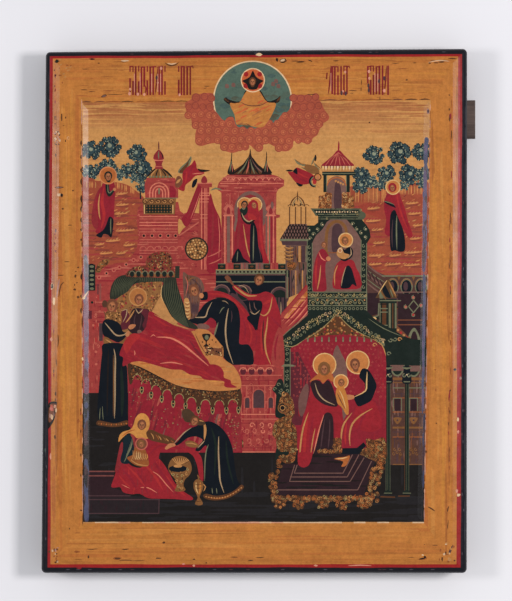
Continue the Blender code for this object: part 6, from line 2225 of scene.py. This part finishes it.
cut_again = delaunay_2d_cdt(
    [cut_points[v] for v in seen_points],
    [(new_index[a], new_index[b]) for a, b in seen_edges],
    [[new_index[from_front[i]] for i in outline]],
    1,
    TOLERANCE,
)
first_cut = BVHTree.FromPolygons([(p.x, p.y, 0) for p in cut_points], pieces)
cut_points, _, patches, second_sources, _, _ = cut_again
point_sources = [
    {i for s in sources if s < len(seen_points) for i in point_sources[seen_points[s]]}
    for sources in second_sources
]
patch_looks = []
for patch in patches:
    middle = sum((cut_points[i] for i in patch), Vector((0, 0))) / len(patch)
    found = first_cut.ray_cast(Vector((middle.x, middle.y, 1)), Vector((0, 0, -1)))[2]
    patch_looks.append((looks[found] if found is not None else None) or bare_edge)
bmesh.ops.delete(work, geom=front_faces, context="FACES_KEEP_BOUNDARY")
kept = {index_of[v]: v for v in rim}
DEEPER_THAN_ANY = 9.0
depths = [DEEPER_THAN_ANY] * len(cut_points)
for patch, look in zip(patches, patch_looks):
    for corner in patch:
        depths[corner] = min(depths[corner], look[1])
placed = []
for point, sources, depth in zip(cut_points, point_sources, depths):
    on_rim = [kept[i] for i in sources if i in kept]
    if on_rim:
        placed.append(on_rim[0])
        continue
    x, y = LEFT + point.x * MM, FOOT + point.y * MM
    for nudge in (0, 1e-6, -1e-6, 1e-5, -1e-5):
        hit = surface.ray_cast(Vector((x + nudge, y + nudge / 2, 1)), Vector((0, 0, -1)))[0]
        if hit:
            break
    placed.append(work.verts.new((x, y, (hit.z if hit else FRONT) - depth * MM)))
paint_layer = work.loops.layers.float_color.new("paint")
brush_layer = work.loops.layers.float_color.new("brush")
for face in work.faces:
    face.material_index = 1 if face.normal.z > -0.5 else 2
for patch, (colour, _, brush) in zip(patches, patch_looks):
    corners = [placed[i] for i in patch]
    if len(set(corners)) < 3:
        continue
    face = work.faces.get(corners) or work.faces.new(corners)
    face.material_index = 0
    for loop in face.loops:
        loop[paint_layer] = (*colour, 1)
        loop[brush_layer] = (*brush, 1)
loose = [v for v in work.verts if not v.link_faces]
bmesh.ops.delete(work, geom=loose, context="VERTS")

# The bake map gives most of its width to the painted front. The flat parts of the sides and back share
# the rest.
MAP_GAP = 0.005
MAP_STEP = 0.98
SAME_PLANE = 0.99
bake_map = work.loops.layers.uv.new("OFBake")
board_low, board_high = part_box("board")
front_scale = (1 - 2 * MAP_GAP) / (board_high.y - board_low.y)
for face in work.faces:
    if face.material_index == 0:
        for loop in face.loops:
            loop[bake_map].uv = (loop.vert.co.xy - board_low.xy) * front_scale + Vector((MAP_GAP, MAP_GAP))
flats = []
placed_faces = set()
for first in [f for f in work.faces if f.material_index]:
    if first in placed_faces:
        continue
    placed_faces.add(first)
    flat = [first]
    for face in flat:
        for other in (g for e in face.edges for g in e.link_faces):
            level = other.normal.dot(first.normal) > SAME_PLANE
            if level and other.material_index and other not in placed_faces:
                placed_faces.add(other)
                flat.append(other)
    upright = Vector((1, 0, 0)) if abs(first.normal.z) > 0.7 else Vector((0, 0, 1))
    along = first.normal.cross(upright).normalized()
    axes = [along.cross(first.normal), along]
    spans = [[axis.dot(v.co) for f in flat for v in f.verts] for axis in axes]
    axes = sorted(zip([max(s) - min(s) for s in spans], [min(s) for s in spans], range(2), axes))
    flats.append((axes, flat))
flats.sort(key=lambda found: -found[0][1][0])
column_left = (board_high.x - board_low.x) * front_scale + 2 * MAP_GAP
column_width = 1 - MAP_GAP - column_left


def rows(scale):
    """Places for the flat parts, side by side in rows, and the height they take."""
    x, y, row = 0, MAP_GAP, 0
    places = []
    for ((wide, *_), (tall, *_)), _ in flats:
        if x + wide * scale > column_width:
            x, y, row = 0, y + row + MAP_GAP, 0
        places.append((column_left + x, y))
        x += wide * scale + MAP_GAP
        row = max(row, tall * scale)
    return places, y + row


scale = front_scale
while rows(scale)[1] > 1 - MAP_GAP or flats[0][0][0][0] * scale > column_width:
    scale *= MAP_STEP
for (((_, across_low, _, across), (_, up_low, _, up)), flat), (x, y) in zip(flats, rows(scale)[0]):
    for loop in (loop for face in flat for loop in face.loops):
        point = loop.vert.co
        loop[bake_map].uv = (x + (across.dot(point) - across_low) * scale,
                             y + (up.dot(point) - up_low) * scale)
board_mesh = bpy.data.meshes.new("painted_panel")
work.to_mesh(board_mesh)
work.free()
panel = bpy.data.objects.new("painted_panel", board_mesh)
bpy.context.scene.collection.objects.link(panel)

# The paint film: tempera colours under a golden, slightly uneven varnish.


def bumped(shader, relief, strength, depth):
    """Gives the shader's surface a fine relief of the given depth."""
    inputs = {"Height": relief, "Strength": strength, "Distance": depth}
    feed(shader, "Normal", relief.node("ShaderNodeBump", {}, inputs, "Normal"))


tempera, tree, shader = finish_named("tempera_and_varnish", Specular_IOR_Level=0.1, Coat_Weight=0.04,
                                     Coat_Roughness=0.15)
colour = add_node(tree, "ShaderNodeAttribute", {"attribute_name": "paint"}, {}, "Color")
brush = add_node(tree, "ShaderNodeAttribute", {"attribute_name": "brush"}, {}, "Vector")
ways = brush.node("ShaderNodeSeparateXYZ", {}, {"Vector": brush})
across = Value(tree, ways.socket.node.outputs[0])
upwards = Value(tree, ways.socket.node.outputs[1])
place = object_place(tree)
sideways = noise(object_place(tree, (0.05, 1, 1)), 800, 4, 0.6)
upright = noise(object_place(tree, (1, 0.05, 1)), 800, 4, 0.6)
mottle = noise(place, 90, 4, 0.6)
dabs = noise(place, 420, 3, 0.55)
fine = noise(place, 1300, 2, 0.5)
brushed = across * (sideways - 0.5) + upwards * (upright - 0.5)
tone = 0.8 + brushed + (mottle - 0.5) * 0.35 + (dabs - 0.5) * 0.4 + (fine - 0.5) * 0.35
shaded = blended(1.0, colour, tone, "MULTIPLY")
feed(shader, "Base Color", shaded)
gloss = ranged(noise(place, 160, 3), 0.35, 0.65, 0.22, 0.34)
feed(shader, "Roughness", gloss)
relief = (sideways - 0.5) * across + (upright - 0.5) * upwards + fine * 0.3 + noise(place, 300, 3) * 0.6
bumped(shader, relief, 0.25, 0.4 * MM)

# The sides are painted black over the wood. The paint is scuffed to brown and rubbed grey, most of all
# along the grain.
side_paint, tree, shader = finish_named("edge_paint", Specular_IOR_Level=0.2)
place = object_place(tree)
height = place.node("ShaderNodeSeparateXYZ", {}, {"Vector": place}, 2)
near_foot = ranged(height, board_low.z + 4 * MM, board_low.z, 0, 0.14)
scuffs = noise(place, 150, 6, 0.7) + near_foot
rubs = noise(object_place(tree, (0.12, 0.12, 1)), 900, 4, 0.6)
tone = blended(ranged(scuffs, 0.62, 0.72), with_alpha(pigment(30, 27, 30)), with_alpha(pigment(84, 56, 42)))
tone = blended(ranged(rubs, 0.56, 0.72, 0, 0.6), tone, with_alpha(pigment(74, 70, 72)))
feed(shader, "Base Color", tone)
gloss = ranged(scuffs + rubs, 0.8, 1.2, 0.42, 0.72)
feed(shader, "Roughness", gloss)
relief = rubs - scuffs * 0.6
bumped(shader, relief, 0.4, 0.6 * MM)


def old_wood(name, lengthwise, dark, pale):
    """Bare, aged wood: growth bands, long fibres, grime in patches, and the small round holes of woodworm."""
    made, tree, shader = finish_named(name, Specular_IOR_Level=0.25)
    place = object_place(tree)
    bands = noise(object_place(tree, lengthwise), 90, 3, 0.55)
    fibres = noise(object_place(tree, lengthwise), 900, 4, 0.65)
    grime = noise(place, 22, 5, 0.6)
    nearest = place.node("ShaderNodeTexVoronoi", {}, {"Vector": place, "Scale": 42.0}, "Distance")
    holes = ranged(nearest, 0.035, 0.05, 1.0, 0.0) * ranged(grime, 0.5, 0.54)
    tone = blended(ranged(bands + fibres * 0.7, 0.62, 1.08), with_alpha(dark), with_alpha(pale))
    tone = blended(ranged(grime, 0.48, 0.75, 0, 0.75), tone, with_alpha(between(dark, INK, 0.6)))
    tone = blended(holes, tone, with_alpha(INK))
    feed(shader, "Base Color", tone)
    feed(shader, "Roughness", ranged(fibres, 0.3, 0.7, 0.62, 0.86))
    relief = bands * 0.5 + fibres * 0.5 - holes
    bumped(shader, relief, 0.5, 0.8 * MM)
    return made


bare_wood = old_wood("old_bare_wood", (1, 0.04, 1), pigment(92, 64, 44), pigment(150, 114, 80))

for finish in (tempera, side_paint, bare_wood):
    board_mesh.materials.append(finish)
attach(panel, "root")
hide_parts("board")

# The two slats are tapered strips of a harder, darker wood, bare and worm-eaten, with the grain along them.
# Each was driven from one side into its dovetail groove across the back, and keeps the board from bending.
slat_wood = old_wood("slat_wood", (0.04, 1, 1), pigment(62, 50, 45), pigment(108, 91, 84))
for name in ("upper_slat", "lower_slat"):
    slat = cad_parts[name]
    slat.data.materials.clear()
    slat.data.materials.append(slat_wood)
